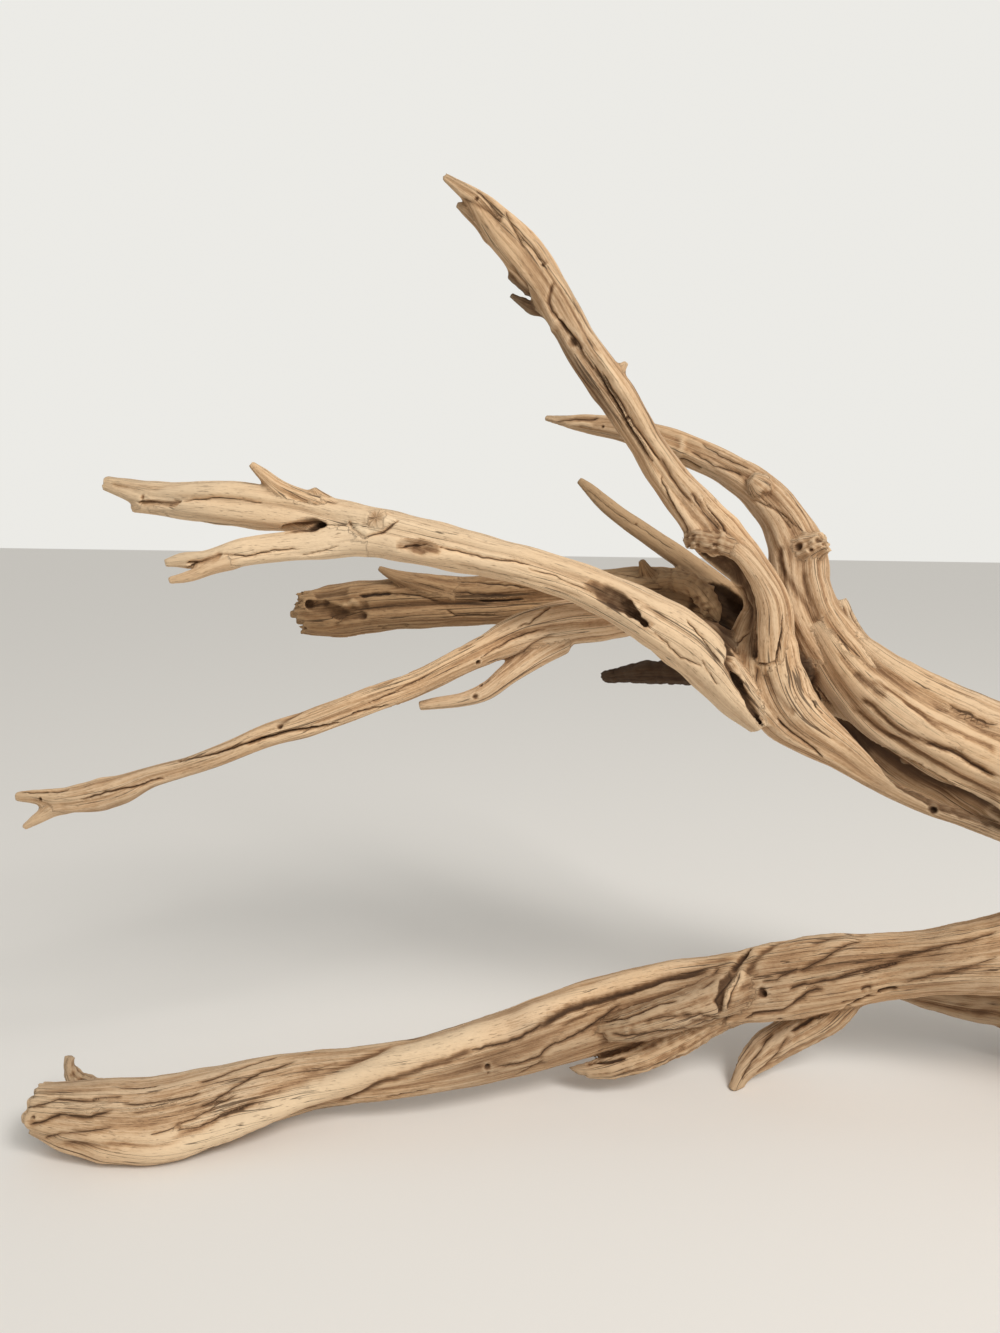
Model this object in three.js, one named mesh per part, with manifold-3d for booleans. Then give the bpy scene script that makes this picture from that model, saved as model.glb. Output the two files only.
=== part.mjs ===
// A driftwood branch: one grown piece of bare grey-gold wood, parted at its main forks into
// seven closed solids. Millimetres, +Z up, standing on z = 0 with the origin under its middle.
// +X runs along the branch towards the butt, and -Y is the side that is looked at.

import * as THREE from 'three';
import { mergeVertices } from 'three/addons/utils/BufferGeometryUtils.js';
import Module from 'manifold-3d';

const wasm = await Module();
wasm.setup();

// Driving sizes
const GAP = 0.3;              // clearance between two solids that meet at a fork
const RING_STEP = 15;         // spacing of the rings along a limb
const RING_STEP_TWIG = 10;    // the same on twigs, stubs and prongs
const LUMP_SIZE = 0.06;       // swell of the wood's lumps, as a share of the half thickness
const RIDGE_FADE = 0.06;      // share of the limb over which a ridge rises or dies away
const LUMP_LENGTH = 46;       // length of one lump along the grain
const GROUND = 0;             // height of the surface that the branch stands on
const GROUND_SLAB = 200;      // depth of the block that wears the underside flat
const GROUND_SPAN = 900;

// Every limb is a list of stations along its middle line, from tip to root:
// x, y, z and the half thickness there, all in mm.
// Its ridges run along it: at is the angle where a ridge starts, counted from the side that is
// looked at towards the upper side, turn is how far it winds round by the root, both in degrees,
// height is a share of the half thickness (negative for a groove), width is in degrees, and from
// and to say over which share of the limb it runs, where that isn't the whole of it.
// depth is the section's front-to-back size against its height, and torn is how ragged the wood
// is broken off at the tip and at the root.

const TRUNK = {
  line: [
    [34, 47, 236, 10], [47, 46, 217, 18], [65, 44, 199, 24], [94, 43, 181, 28], [120, 42, 170, 29],
    [150, 42, 156, 30], [178, 42, 139, 31], [204, 40, 118, 33], [228, 37, 90, 36], [249, 34, 60, 38],
    [264, 32, 30, 40], [273, 31, -8, 43],
  ],
  sides: 17,
  depth: 0.86,
  ridges: [
    { at: 62, turn: 10, height: 0.10, width: 22 },
    { at: 32, turn: 12, height: -0.10, width: 10 },
    { at: 8, turn: 14, height: 0.08, width: 16 },
    { at: -22, turn: 12, height: -0.12, width: 10 },
    { at: -58, turn: 0, height: -0.20, width: 20 },
    { at: -100, turn: 0, height: 0.18, width: 26, from: 0.08, to: 0.3 },
    { at: 130, turn: -20, height: -0.12, width: 14 },
    { at: 178, turn: 10, height: 0.10, width: 24 },
    { at: 222, turn: 10, height: -0.14, width: 14 },
  ],
};
const TORN_LEDGE = {
  line: [[45, 56, 245, 5], [48, 52, 234, 7.5], [55, 48, 220, 9], [68, 44, 204, 10], [84, 42, 190, 9]],
  sides: 9,
  torn: [3, 0],
};
const BACK_ROOT = {
  line: [
    [86, 67, 40, 3], [104, 70, 38, 7], [122, 73, 36, 10], [142, 76, 34, 12], [168, 80, 24, 16],
    [196, 79, 16, 20], [224, 66, 24, 25], [248, 46, 40, 28],
  ],
  sides: 10,
  ridges: [
    { at: 30, turn: 30, height: 0.14, width: 22 },
    { at: -20, turn: 30, height: -0.14, width: 14 },
    { at: 150, turn: 20, height: 0.12, width: 24 },
  ],
};
const DARK_TWIG = {
  line: [
    [-71, 78, 199, 3], [-60, 74, 202, 4], [-46, 68, 205, 6], [-29, 60, 207, 6], [-11, 52, 212, 8],
    [10, 47, 215, 9], [40, 46, 216, 11],
  ],
  sides: 7,
  torn: [3, 0],
};

const TABLE_LIMB = {
  line: [
    [-307, -95, 21, 11], [-296, -93, 20, 12.5], [-274, -88, 18, 15.5], [-254, -80, 16, 16.5],
    [-235, -68, 16, 16.5], [-215, -57, 18, 15.5], [-194, -46, 20, 13.5], [-171, -39, 22, 12.5],
    [-144, -31, 25, 13], [-117, -17, 28, 15], [-90, -1, 32, 17], [-62, 15, 37, 18], [-33, 26, 42, 18.5],
    [-3, 33, 47, 18], [26, 39, 51, 19], [51, 44, 56, 18.5], [75, 49, 60, 16.5], [99, 50, 65, 16.5],
    [117, 50, 69, 18], [131, 50, 72, 20], [160, 50, 80, 23], [190, 47, 88, 26], [218, 42, 92, 28],
  ],
  sides: 14,
  depth: 0.94,
  torn: [3, 0],
  ridges: [
    { at: -72, turn: 290, height: 0.26, width: 30, from: 0, to: 0.5 },
    { at: -112, turn: 290, height: -0.16, width: 20, from: 0.12, to: 0.56 },
    { at: 20, turn: 20, height: -0.12, width: 14, from: 0, to: 0.2 },
    { at: 30, turn: 20, height: -0.12, width: 14, from: 0.62, to: 1 },
    { at: -10, turn: 20, height: 0.10, width: 20, from: 0.62, to: 1 },
    { at: -80, turn: 30, height: -0.12, width: 18, from: 0.5, to: 1 },
    { at: 150, turn: 60, height: 0.12, width: 26 },
    { at: 210, turn: 60, height: -0.12, width: 18 },
  ],
};
const HOOKED_TWIG = {
  line: [
    [-312, -62, 27, 2], [-312, -63, 22, 3], [-307, -66, 18, 4], [-296, -70, 17, 5], [-276, -78, 19, 7],
  ],
  sides: 6,
};
const HIGH_STUB = {
  line: [
    [-57, 1, 37, 5.5], [-46, 0, 41, 7.5], [-31, 3, 46, 8.5], [-14, 11, 50, 9], [0, 20, 53, 9],
    [14, 31, 55, 8], [28, 39, 57, 6],
  ],
  sides: 8,
  torn: [4, 0],
};
const LOW_STUB = {
  line: [
    [-74, 1, 14, 1.2], [-67, 2, 13.5, 3], [-57, 4, 15.5, 5.5], [-40, 10, 21, 7.5], [-20, 19, 29, 8],
    [0, 28, 39, 8], [20, 35, 47, 7],
  ],
  sides: 8,
  torn: [3, 0],
};
const SPUR = {
  line: [
    [5, 22, -2, 3], [10, 30, 6, 5], [19, 38, 13, 8], [33, 44, 22, 9], [50, 47, 34, 10], [68, 50, 54, 8],
  ],
  sides: 8,
  torn: [2, 0],
};

const UPRIGHT_LIMB = {
  line: [
    [-136, 2, 435, 1.5], [-129, 2, 430, 2.8], [-121, 3, 424, 4.5], [-111, 4, 412, 8], [-101, 5, 401, 9],
    [-91, 6, 388, 8], [-77, 8, 365, 8], [-65, 9, 348, 8.5], [-57, 10, 337, 8.5], [-46, 11, 320, 7.5],
    [-35, 12, 304, 8], [-24, 13, 291, 9.5], [-13, 14, 278, 11], [1, 16, 264, 9], [10, 18, 249, 9.5],
    [10, 19, 230, 14], [14, 19, 212, 15.5], [24, 18, 196, 14], [46, 16, 181, 8.5], [65, 20, 167, 5.5],
    [87, 25, 155, 4], [105, 29, 148, 3.5], [123, 32, 141, 3.5], [142, 37, 133, 3],
  ],
  sides: 12,
  depth: 0.95,
  torn: [2, 0],
  ridges: [
    { at: 10, turn: -30, height: -0.16, width: 13 },
    { at: 50, turn: -10, height: 0.12, width: 22 },
    { at: -40, turn: 20, height: 0.10, width: 20 },
    { at: 150, turn: 20, height: -0.14, width: 16 },
    { at: 220, turn: 20, height: 0.10, width: 24 },
  ],
};
const SPLIT_TIP = {
  line: [[-131, 4, 424, 1.2], [-125, 4, 420, 2.5], [-118, 4, 415, 4], [-110, 5, 407, 6]],
  sides: 7,
};
const SIDE_STUBS = [
  { line: [[-108, 6, 393, 1], [-102, 6, 389, 1.8], [-93, 8, 385, 4]], sides: 6 },
  { line: [[-107, 6, 385, 1], [-101, 6, 381, 2], [-91, 8, 376, 4]], sides: 6 },
  { line: [[-55, 8, 355, 1.2], [-59, 8, 350, 2.5], [-64, 9, 344, 4]], sides: 6 },
];
const FOOT_STRAND = {
  line: [
    [-9, 5, 275, 3], [-2, 5, 270, 3.5], [6, 5, 260, 4.5], [11, 6, 249, 6], [12, 7, 238, 7],
    [13, 9, 226, 6.5], [15, 13, 213, 5],
  ],
  sides: 8,
  torn: [3, 0],
};
const COLLAR = {
  line: [[-27, 7, 277, 2.5], [-20, 4, 277, 4], [-13, 3, 276, 4.5], [-7, 5, 274, 3.5], [-2, 10, 271, 3]],
  sides: 8,
  torn: [2, 1],
};

const REAR_LIMB = {
  line: [
    [-108, 104, 338, 1.5], [-97, 102, 336, 3], [-83, 99, 334, 5], [-61, 93, 330, 6.5],
    [-34, 86, 321, 7.5], [-10, 79, 310, 8], [6, 72, 299, 9], [18, 66, 285, 10.5], [25, 60, 270, 12.5],
    [28, 54, 253, 12.5], [34, 50, 237, 14], [45, 47, 221, 15], [62, 44, 203, 14],
  ],
  sides: 11,
  depth: 0.95,
  ridges: [
    { at: 30, turn: -40, height: -0.14, width: 14 },
    { at: 70, turn: -30, height: 0.10, width: 24 },
    { at: -30, turn: -20, height: 0.10, width: 24 },
    { at: 190, turn: -30, height: -0.12, width: 20 },
  ],
};
const REAR_KNOTS = [
  { line: [[37, 48, 275, 5], [31, 51, 272, 7], [24, 57, 268, 9]], sides: 8, torn: [3, 0] },
  { line: [[2, 62, 305, 3], [6, 64, 302, 6], [11, 68, 298, 8]], sides: 7 },
];

const REACHING_LIMB = {
  line: [
    [-271, -62, 302, 3.2], [-262, -62, 300, 4.2], [-251, -61, 297, 6], [-237, -60, 295, 7.5],
    [-219, -59, 294, 9], [-201, -57, 292, 9.5], [-181, -54, 289, 8.5], [-164, -51, 284, 10],
    [-145, -48, 280, 10.5], [-127, -44, 276, 9.5], [-110, -40, 272, 8.5], [-94, -35, 268, 8.5],
    [-74, -27, 261, 8.5], [-57, -20, 253, 10], [-40, -11, 243, 11.5], [-25, -2, 232.5, 12.5],
    [-13, 5, 220.5, 12], [-1, 9, 206, 9.5], [10, 12, 193, 6],
  ],
  sides: 12,
  depth: 0.95,
  ridges: [
    { at: 45, turn: -20, height: 0.10, width: 26 },
    { at: 2, turn: 30, height: -0.16, width: 12 },
    { at: -40, turn: 20, height: 0.10, width: 24 },
    { at: 150, turn: 30, height: -0.12, width: 18 },
    { at: 215, turn: 10, height: 0.10, width: 26 },
  ],
};
const LOWER_TINE = {
  line: [
    [-232, -84, 270, 1.5], [-226, -81, 271, 3], [-216, -79, 271, 4], [-203, -74, 274, 6],
    [-188, -67, 276, 6], [-174, -61, 277, 6.5], [-157, -53, 279, 7], [-138, -46, 279, 5],
  ],
  sides: 8,
};
const TINE_PRONG = {
  line: [[-230, -85, 263, 1.3], [-221, -83, 265, 2.2], [-212, -80, 269, 3], [-200, -74, 273, 4]],
  sides: 6,
};
const TINE_TWIG = {
  line: [
    [-202, -64, 310, 1.3], [-198, -62, 306, 2.5], [-191, -60, 300, 3.5], [-181, -57, 295, 4],
    [-169, -54, 290, 5],
  ],
  sides: 6,
};
const TIP_PRONG = {
  line: [[-258, -64, 291, 1.2], [-250, -63, 292, 2.6], [-237, -61, 292, 4], [-222, -59, 291, 5]],
  sides: 6,
};
const REACHING_KNOTS = [
  { line: [[-150, -58, 288, 3], [-150, -56, 287, 4.5], [-149, -50, 285, 6]], sides: 7 },
  { line: [[-178, -56, 300, 1], [-175, -55, 295, 3], [-170, -53, 289, 5]], sides: 6 },
];

const FORK_WEB = {
  line: [[-34, 6, 243, 4], [-22, 12, 236, 7], [-11, 15, 229, 9], [-4, 16, 218, 8], [4, 16, 206, 5]],
  sides: 7,
};

const BLUNT_LIMB = {
  line: [
    [-213, 8, 239, 11], [-199, 10, 240, 12.5], [-182, 13, 242, 12.5], [-162, 16, 244, 12.5],
    [-140, 20, 245, 12], [-116, 25, 246, 12], [-92, 30, 248, 12], [-68, 34, 249, 11.5],
    [-44, 38, 250, 11], [-25, 41, 248, 11], [-9, 42, 243, 11], [8, 42, 234, 11], [24, 44, 226, 11],
  ],
  sides: 10,
  depth: 0.85,
  torn: [7, 0],
  ridges: [
    { at: 35, turn: 10, height: 0.10, width: 20 },
    { at: 5, turn: -10, height: -0.18, width: 13 },
    { at: -35, turn: 10, height: 0.08, width: 20 },
    { at: 170, turn: 20, height: -0.14, width: 18 },
  ],
};
const SPLINTER = {
  line: [[-172, 6, 262, 1.2], [-164, 8, 258, 3], [-150, 12, 254, 5], [-130, 18, 249, 6]],
  sides: 6,
};
const BLUNT_NUB = { line: [[-48, 30, 266, 1.5], [-46, 32, 261, 3], [-42, 36, 253, 6]], sides: 6 };
const THIN_TWIG = {
  line: [
    [-82, 55, 304, 1.8], [-76, 54, 299, 3], [-67, 52, 291, 4], [-54, 49, 282, 4.5],
    [-40, 46, 273, 4.5], [-25, 43, 263, 5], [-11, 42, 252, 6], [2, 42, 240, 7],
  ],
  sides: 7,
};
const FORK_KNOT = {
  line: [
    [-42, 38, 256, 4], [-32, 31, 257, 4.5], [-23, 25, 255, 5], [-16, 22, 248, 5], [-10, 20, 239, 4],
  ],
  sides: 6,
};

const TRAILING_LIMB = {
  line: [
    [-308, -88, 167, 2], [-298, -87, 167, 3.2], [-289, -86, 166, 5], [-279, -85, 167, 6],
    [-269, -83, 169, 6.7], [-259, -81, 172, 6], [-248, -78, 177, 4.5], [-234, -74, 181, 4],
    [-217, -69, 187, 4.5], [-201, -64, 194, 5], [-184, -58, 199, 5.7], [-168, -52, 205, 6],
    [-152, -45, 211, 6], [-138, -39, 216, 5.7], [-124, -32, 223, 6], [-110, -24, 230, 7],
    [-96, -15, 236, 9.5], [-80, -4, 239, 10.5], [-64, 8, 240, 10], [-50, 20, 241, 9], [-34, 32, 243, 8],
  ],
  sides: 8,
  ridges: [
    { at: 30, turn: 20, height: 0.12, width: 26 },
    { at: -5, turn: 10, height: -0.14, width: 16 },
    { at: 190, turn: 30, height: -0.12, width: 22 },
  ],
};
const TRAIL_PRONG = {
  line: [[-304, -90, 154, 1.3], [-298, -89, 158, 2.3], [-290, -87, 163, 3.5], [-280, -85, 167, 4]],
  sides: 6,
};
const SIDE_TWIG = {
  line: [
    [-140, -34, 204, 2], [-134, -33, 205, 2.5], [-121, -30, 207, 3], [-112, -26, 210, 4],
    [-102, -21, 218, 4.7], [-90, -13, 227, 6], [-76, -2, 235, 7],
  ],
  sides: 7,
};

// Hollows cut out of the wood: the same kind of line, taken away instead of added
const ROPE_HOLLOW = {
  line: [
    [41, 22, 195, 2.5], [51, 21, 187, 5], [62, 21, 179, 6.5], [74, 21, 171, 7], [92, 22, 161, 6.5],
    [110, 24, 153, 5.5], [128, 28, 146, 4],
  ],
  sides: 7,
};
const FOLD_CREVICE = {
  line: [
    [12, 37, 68, 1.2], [6, 29, 66, 1.3], [1, 22, 63, 1.6], [-2, 15, 60, 1.8], [-3, 10, 56, 1.6],
    [-3, 8, 50, 1.2],
  ],
  sides: 6,
};
const ELBOW_PIT = { line: [[15, 17, 56, 1.5], [19, 23, 54, 1.5]], sides: 7 };
const STUB_RECESS = {
  line: [[-60, 0, 25, 1], [-50, 1, 28, 2.2], [-36, 4, 32, 2.5], [-20, 8, 36, 1.5]],
  sides: 7,
};
const FORK_CREVICE = {
  line: [
    [-9, 9, 243, 2.5], [-7, 8, 232, 2.6], [-5, 4, 223, 2.2], [-1, 3, 213, 1.8], [4, 4, 202, 1.4],
    [10, 7, 194, 1.2],
  ],
  sides: 6,
};
const COLLAR_RECESS = {
  line: [
    [-17, 10, 272, 3], [-7, 9, 264, 5.5], [-1, 8, 255, 5.5], [3, 7, 246, 4], [5, 6, 236, 2.5],
    [6, 7, 226, 1.5],
  ],
  sides: 6,
};
const ROPE_HOLE = { line: [[88, 16, 155, 1.5], [89, 21, 154, 2], [90, 25, 153, 1.2]], sides: 6 };
const EYE_HOLLOW = {
  line: [[-64, -34, 260, 2], [-56, -31, 255, 4], [-48, -24, 248, 3], [-42, -22, 242, 1.5]],
  sides: 7,
};
const CROTCH_HOLE = {
  line: [[-190, -72, 285, 1.5], [-180, -66, 285, 2.5], [-172, -58, 284, 2.5], [-166, -50, 284, 1.5]],
  sides: 7,
};
const SIDE_HOLE = { line: [[-139, -60, 277, 2], [-133, -56, 276, 3], [-126, -54, 275, 1.5]], sides: 6 };
const BLUNT_HOLLOW = {
  line: [[-207, 2, 244, 2], [-199, 0, 243, 3.5], [-190, 1, 240, 3.5], [-180, 3, 239, 2]],
  sides: 8,
};
const CAVITY = { line: [[-22, 29, 246, 4], [-12, 31, 250, 7], [-3, 33, 243, 6]], sides: 7 };

// Lumps of the wood: a slow swell along the grain and round the section
function lump(along, turn, seed) {
  const wave = (2 * Math.PI * along) / LUMP_LENGTH;
  return 0.6 * Math.sin(wave + 2 * turn + seed) + 0.4 * Math.sin(2.3 * wave - 3 * turn + 2 * seed);
}

// Half thickness of the section in one direction, as a share of the station's own
function sectionShare(limb, share, along, turn) {
  let size = 1 + LUMP_SIZE * lump(along, turn, limb.line.length);
  for (const ridge of limb.ridges ?? []) {
    const { from = -1, to = 2 } = ridge;
    const fade = THREE.MathUtils.smoothstep(share, from, from + RIDGE_FADE)
      * THREE.MathUtils.smoothstep(-share, -to, RIDGE_FADE - to);
    const centre = THREE.MathUtils.degToRad(ridge.at + ridge.turn * share);
    const off = Math.atan2(Math.sin(turn - centre), Math.cos(turn - centre));
    const spread = off / THREE.MathUtils.degToRad(ridge.width);
    size += fade * ridge.height * Math.exp(-spread * spread);
  }
  return size;
}

// Half thickness at a share of the way along, between the stations on each side of it
function stationSize(line, share) {
  const place = share * (line.length - 1);
  const from = Math.min(Math.floor(place), line.length - 2);
  return THREE.MathUtils.lerp(line[from][3], line[from + 1][3], place - from);
}

// One limb: a closed cylinder whose rings are laid along the limb's middle line. grow makes it
// thicker all round, for a cut that leaves that clearance.
function limbGeometry(limb, grow) {
  const { line, sides, depth = 1, torn = [0, 0] } = limb;
  const points = line.map(([x, y, z]) => new THREE.Vector3(x, y, z));
  const curve = new THREE.CatmullRomCurve3(points, false, 'centripetal');
  const length = curve.getLength();
  const ringStep = limb.ridges ? RING_STEP : RING_STEP_TWIG;
  const rings = Math.max(line.length - 1, Math.round(length / ringStep));
  const geometry = new THREE.CylinderGeometry(1, 1, 1, sides, rings);
  const corners = geometry.attributes.position;
  const corner = new THREE.Vector3();
  const front = new THREE.Vector3();
  const upper = new THREE.Vector3();
  for (let i = 0; i < corners.count; i += 1) {
    corner.fromBufferAttribute(corners, i);
    const share = THREE.MathUtils.clamp(0.5 - corner.y, 0, 1);
    const out = Math.hypot(corner.x, corner.z);
    const turn = Math.atan2(corner.x, corner.z);
    const along = curve.getTangent(share);
    front.set(0, -1, 0).addScaledVector(along, along.y).normalize();
    upper.crossVectors(front, along);
    const form = sectionShare(limb, share, share * length, turn);
    const size = out * (stationSize(line, share) * form + grow);
    corner.copy(curve.getPoint(share))
      .addScaledVector(front, size * depth * Math.cos(turn))
      .addScaledVector(upper, size * Math.sin(turn));
    if (share === 0 || share === 1) {
      const rag = out > 0.5 ? Math.sin(3 * turn + 1) * Math.cos(5 * turn) : 0.8;
      corner.addScaledVector(along, share === 0 ? torn[0] * rag - grow : grow - torn[1] * rag);
    }
    corners.setXYZ(i, corner.x, corner.y, corner.z);
  }
  return geometry;
}

// A closed three.js geometry as a solid that can be joined and cut
function solidOf(geometry) {
  geometry.deleteAttribute('normal');
  geometry.deleteAttribute('uv');
  const merged = mergeVertices(geometry);
  return new wasm.Manifold(new wasm.Mesh({
    numProp: 3,
    vertProperties: new Float32Array(merged.attributes.position.array),
    triVerts: new Uint32Array(merged.index.array),
  }));
}

// Limbs grown together, grow mm thicker than they are
function joined(limbs, grow = 0) {
  return limbs.map((limb) => solidOf(limbGeometry(limb, grow))).reduce((sum, solid) => sum.add(solid));
}

function meshOf(name, solid, colour) {
  const { vertProperties, triVerts } = solid.getMesh();
  const geometry = new THREE.BufferGeometry();
  geometry.setAttribute('position', new THREE.BufferAttribute(new Float32Array(vertProperties), 3));
  geometry.setIndex(new THREE.BufferAttribute(new Uint32Array(triVerts), 1));
  geometry.computeVertexNormals();
  const wood = new THREE.MeshStandardMaterial({ color: colour, roughness: 0.85, flatShading: true });
  const mesh = new THREE.Mesh(geometry, wood);
  mesh.name = name;
  return mesh;
}

// Each node: the limbs fused in it, its hollows, its colour, and the nodes it grows out of, whose
// wood goes on past the fork where its own stops
const NODES = {
  trunk: { limbs: [TRUNK, TORN_LEDGE, BACK_ROOT, DARK_TWIG], hollows: [ROPE_HOLLOW], colour: 0xb59a76 },
  table_limb: {
    limbs: [TABLE_LIMB, HOOKED_TWIG, HIGH_STUB, LOW_STUB, SPUR],
    hollows: [FOLD_CREVICE, ELBOW_PIT, STUB_RECESS],
    colour: 0xb09570,
    from: ['trunk'],
  },
  upright_limb: {
    limbs: [UPRIGHT_LIMB, SPLIT_TIP, FOOT_STRAND, COLLAR, ...SIDE_STUBS],
    hollows: [FORK_CREVICE, COLLAR_RECESS, ROPE_HOLE],
    colour: 0xc0a27c,
    from: ['trunk'],
  },
  rear_limb: { limbs: [REAR_LIMB, ...REAR_KNOTS], colour: 0xb99b78, from: ['trunk', 'upright_limb'] },
  reaching_limb: {
    limbs: [REACHING_LIMB, LOWER_TINE, TINE_PRONG, TINE_TWIG, TIP_PRONG, ...REACHING_KNOTS,
      FORK_WEB],
    hollows: [EYE_HOLLOW, CROTCH_HOLE, SIDE_HOLE, FORK_CREVICE],
    colour: 0xc6a97f,
    from: ['trunk', 'upright_limb'],
  },
  blunt_limb: {
    limbs: [BLUNT_LIMB, SPLINTER, BLUNT_NUB, THIN_TWIG, FORK_KNOT],
    hollows: [BLUNT_HOLLOW, CAVITY],
    colour: 0x94795c,
    from: ['trunk', 'upright_limb', 'rear_limb', 'reaching_limb'],
  },
  trailing_limb: {
    limbs: [TRAILING_LIMB, TRAIL_PRONG, SIDE_TWIG],
    colour: 0xbd9f77,
    from: ['reaching_limb', 'blunt_limb'],
  },
};

const group = new THREE.Group();
const ground = solidOf(new THREE.BoxGeometry(GROUND_SPAN, GROUND_SPAN, GROUND_SLAB)
  .translate(0, 0, GROUND - GROUND_SLAB / 2));
for (const [name, { limbs, hollows = [], colour, from = [] }] of Object.entries(NODES)) {
  let solid = joined(limbs).subtract(ground);
  for (const neighbour of from) {
    solid = solid.subtract(joined(NODES[neighbour].limbs, GAP));
  }
  if (hollows.length > 0) {
    solid = solid.subtract(joined(hollows));
  }
  group.add(meshOf(name, solid, colour));
}

export default group;
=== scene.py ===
# A driftwood branch, dressed. Every limb is a tube of wood round a middle line, and all of them
# are one field of distances: inside it is negative. The field is grown together at the forks,
# carved with grain, cracks, knots and torn ends, and meshed node by node.
# Lengths are in millimetres until a mesh is made, and are then scaled to metres.

import math
from concurrent.futures import ThreadPoolExecutor
from functools import partial

import bpy
import numpy as np
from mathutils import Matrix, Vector


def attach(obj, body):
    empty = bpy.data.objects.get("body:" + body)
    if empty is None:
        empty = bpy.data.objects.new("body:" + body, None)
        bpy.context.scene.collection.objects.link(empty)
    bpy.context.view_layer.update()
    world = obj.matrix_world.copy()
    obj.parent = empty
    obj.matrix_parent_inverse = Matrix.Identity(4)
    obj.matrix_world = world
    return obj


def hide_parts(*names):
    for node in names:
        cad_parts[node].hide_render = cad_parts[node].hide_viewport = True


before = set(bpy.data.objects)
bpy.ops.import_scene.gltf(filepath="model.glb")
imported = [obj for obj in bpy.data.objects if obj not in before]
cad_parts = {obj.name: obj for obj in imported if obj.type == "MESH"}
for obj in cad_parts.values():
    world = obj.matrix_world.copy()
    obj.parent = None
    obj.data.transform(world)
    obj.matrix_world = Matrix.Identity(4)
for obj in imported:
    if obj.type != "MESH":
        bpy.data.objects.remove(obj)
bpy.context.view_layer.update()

# The field and its meshes
METRE = 0.001
VOXEL = 1.0  # base spacing of the meshes' points
FINENESS = {  # how fine each node's mesh is, as a share of VOXEL
    "trunk": 1.2, "table_limb": 1.09, "upright_limb": 0.68, "rear_limb": 0.75,
    "reaching_limb": 0.655, "blunt_limb": 0.78, "trailing_limb": 0.70,
}
COARSE = 4  # voxels to one cell of the rough search
ROOM = 0.4  # room for the search round a limb, as a share of its size
FAR = 50.0  # value of the field away from every limb
SAMPLE = 2.0  # spacing of the samples on a middle line
CURVE_STEPS = 12  # points of a middle line's curve from station to station
BLEND = 3.0  # how wide the wood is rounded where limbs grow together
DIVE = 4.0  # how deep a limb goes on inside its neighbour
SKIN = 5.0  # how far from the plain surface the wood is carved
BAND = 7.0  # how far from the plain surface the real one can be
BAND_SHARE = 0.28  # and how much farther, as a share of the half thickness
CORE = 4.0  # distance from the plain surface that is always looked at
HOLLOW_BLEND = 1.2  # how wide the rim of a hollow is rounded
HOLLOW_REACH = 8.0  # how far from its surface a hollow can still matter
HOLLOW_ROUGHNESS = 0.8
CELLS_AT_ONCE = 1200
POINTS_AT_ONCE = 20000
THREADS = 4

# The shape of the wood
LUMP_SIZE = 0.04  # the limbs' slow swells, a little less than the solids'
LUMP_LENGTH = 46.0
ROOT_FADE = 0.7  # how much of its thickness a limb loses at its root
RIDGE_FADE = 0.06  # the stretch in which a ridge starts or stops
SWELL_HEIGHT = 0.03  # flutes, as shares of the half thickness
FLUTE_HEIGHT = 0.13
RIB_HEIGHT = 0.08
FIBRE_HEIGHT = 0.34  # fibres and dents in millimetres
THREAD_HEIGHT = 0.14
DENT_HEIGHT = 0.15
CRINKLE_LENGTH = 2.6  # size of the knobs on crumpled ends
TORN_SHARE = 0.55  # share of the noise in a torn end
SWAY = 0.5  # how far a mark strays from its path, slowly and quickly
SHAKE = 0.35
THIN = 1.35  # half width below which a mark is also a crisp line
UNSPLIT = 3.0  # distance to a split where there is none

# The looks of the wood
# shade is a near-black colour for cracks and for painted shade
WOODS = {
    "driftwood": dict(bleached_and_painted_light=(0.92, 0.73, 0.50), pale=(0.82, 0.60, 0.39), middle=(0.56, 0.35, 0.195),
                      deep=(0.26, 0.14, 0.07), shade=(0.055, 0.028, 0.014)),
    "driftwood_dark": dict(bleached_and_painted_light=(0.60, 0.42, 0.25), pale=(0.46, 0.30, 0.165),
                           middle=(0.29, 0.17, 0.085), deep=(0.13, 0.07, 0.035),
                           shade=(0.035, 0.02, 0.011)),
}
SLOTS = {"blunt_limb": "driftwood_dark"}
TONE_BLEND = 0.7  # how far one limb's darkness goes over into the next
GRAIN_RAG = 0.9  # how ragged the line is where one limb's grain ends
VALLEY_ROUNDS = 10  # how wide the wood round a point is taken to be
VALLEY_PAINTED_SHADE = 0.24  # how much a millimetre of valley darkens the wood: painted shade in valleys, and painted light on crests
BUMP_HEIGHT = 0.001  # metres

# The stage, the lights and the camera, in metres and degrees
FLOOR_COLOUR = (0.86, 0.84, 0.81)
FLOOR_ROUGHNESS = 0.9
FLOOR_SIDE = 4.0
LIGHT_PLACE = (0.65, -0.60, 1.10)
LIGHT_AIM = (0.0, 0.0, 0.2)
LIGHT_COLOUR = (1.0, 0.97, 0.93)
KEY_SIZE = 0.4
KEY_WATTS = 7.2
SUN_STRENGTH = 0.82
SUN_ANGLE = 0.5  # radians
SKY_COLOUR = (0.93, 0.92, 0.88)
SKY_STRENGTH = 0.5
BACKDROP_STRENGTH = 0.9
IMAGE_HEIGHT = 1333  # pixels of the photo
FOCAL_PIXELS = 1001.0
SENSOR_SIDE = 36.0  # millimetres on the photo's long side
CAMERA_PLACE = (-0.010, -0.454, 0.300)
CAMERA_DOWN = 10.1
CAMERA_LEFT = 12.5
NEAR_CLIP = 0.01

NOISE_BITS = 6
NOISE_MASK = 2 ** NOISE_BITS - 1
NOISE_BLOCK = np.random.default_rng(7).random(2 ** (3 * NOISE_BITS), dtype=np.float32) * 2 - 1


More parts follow.
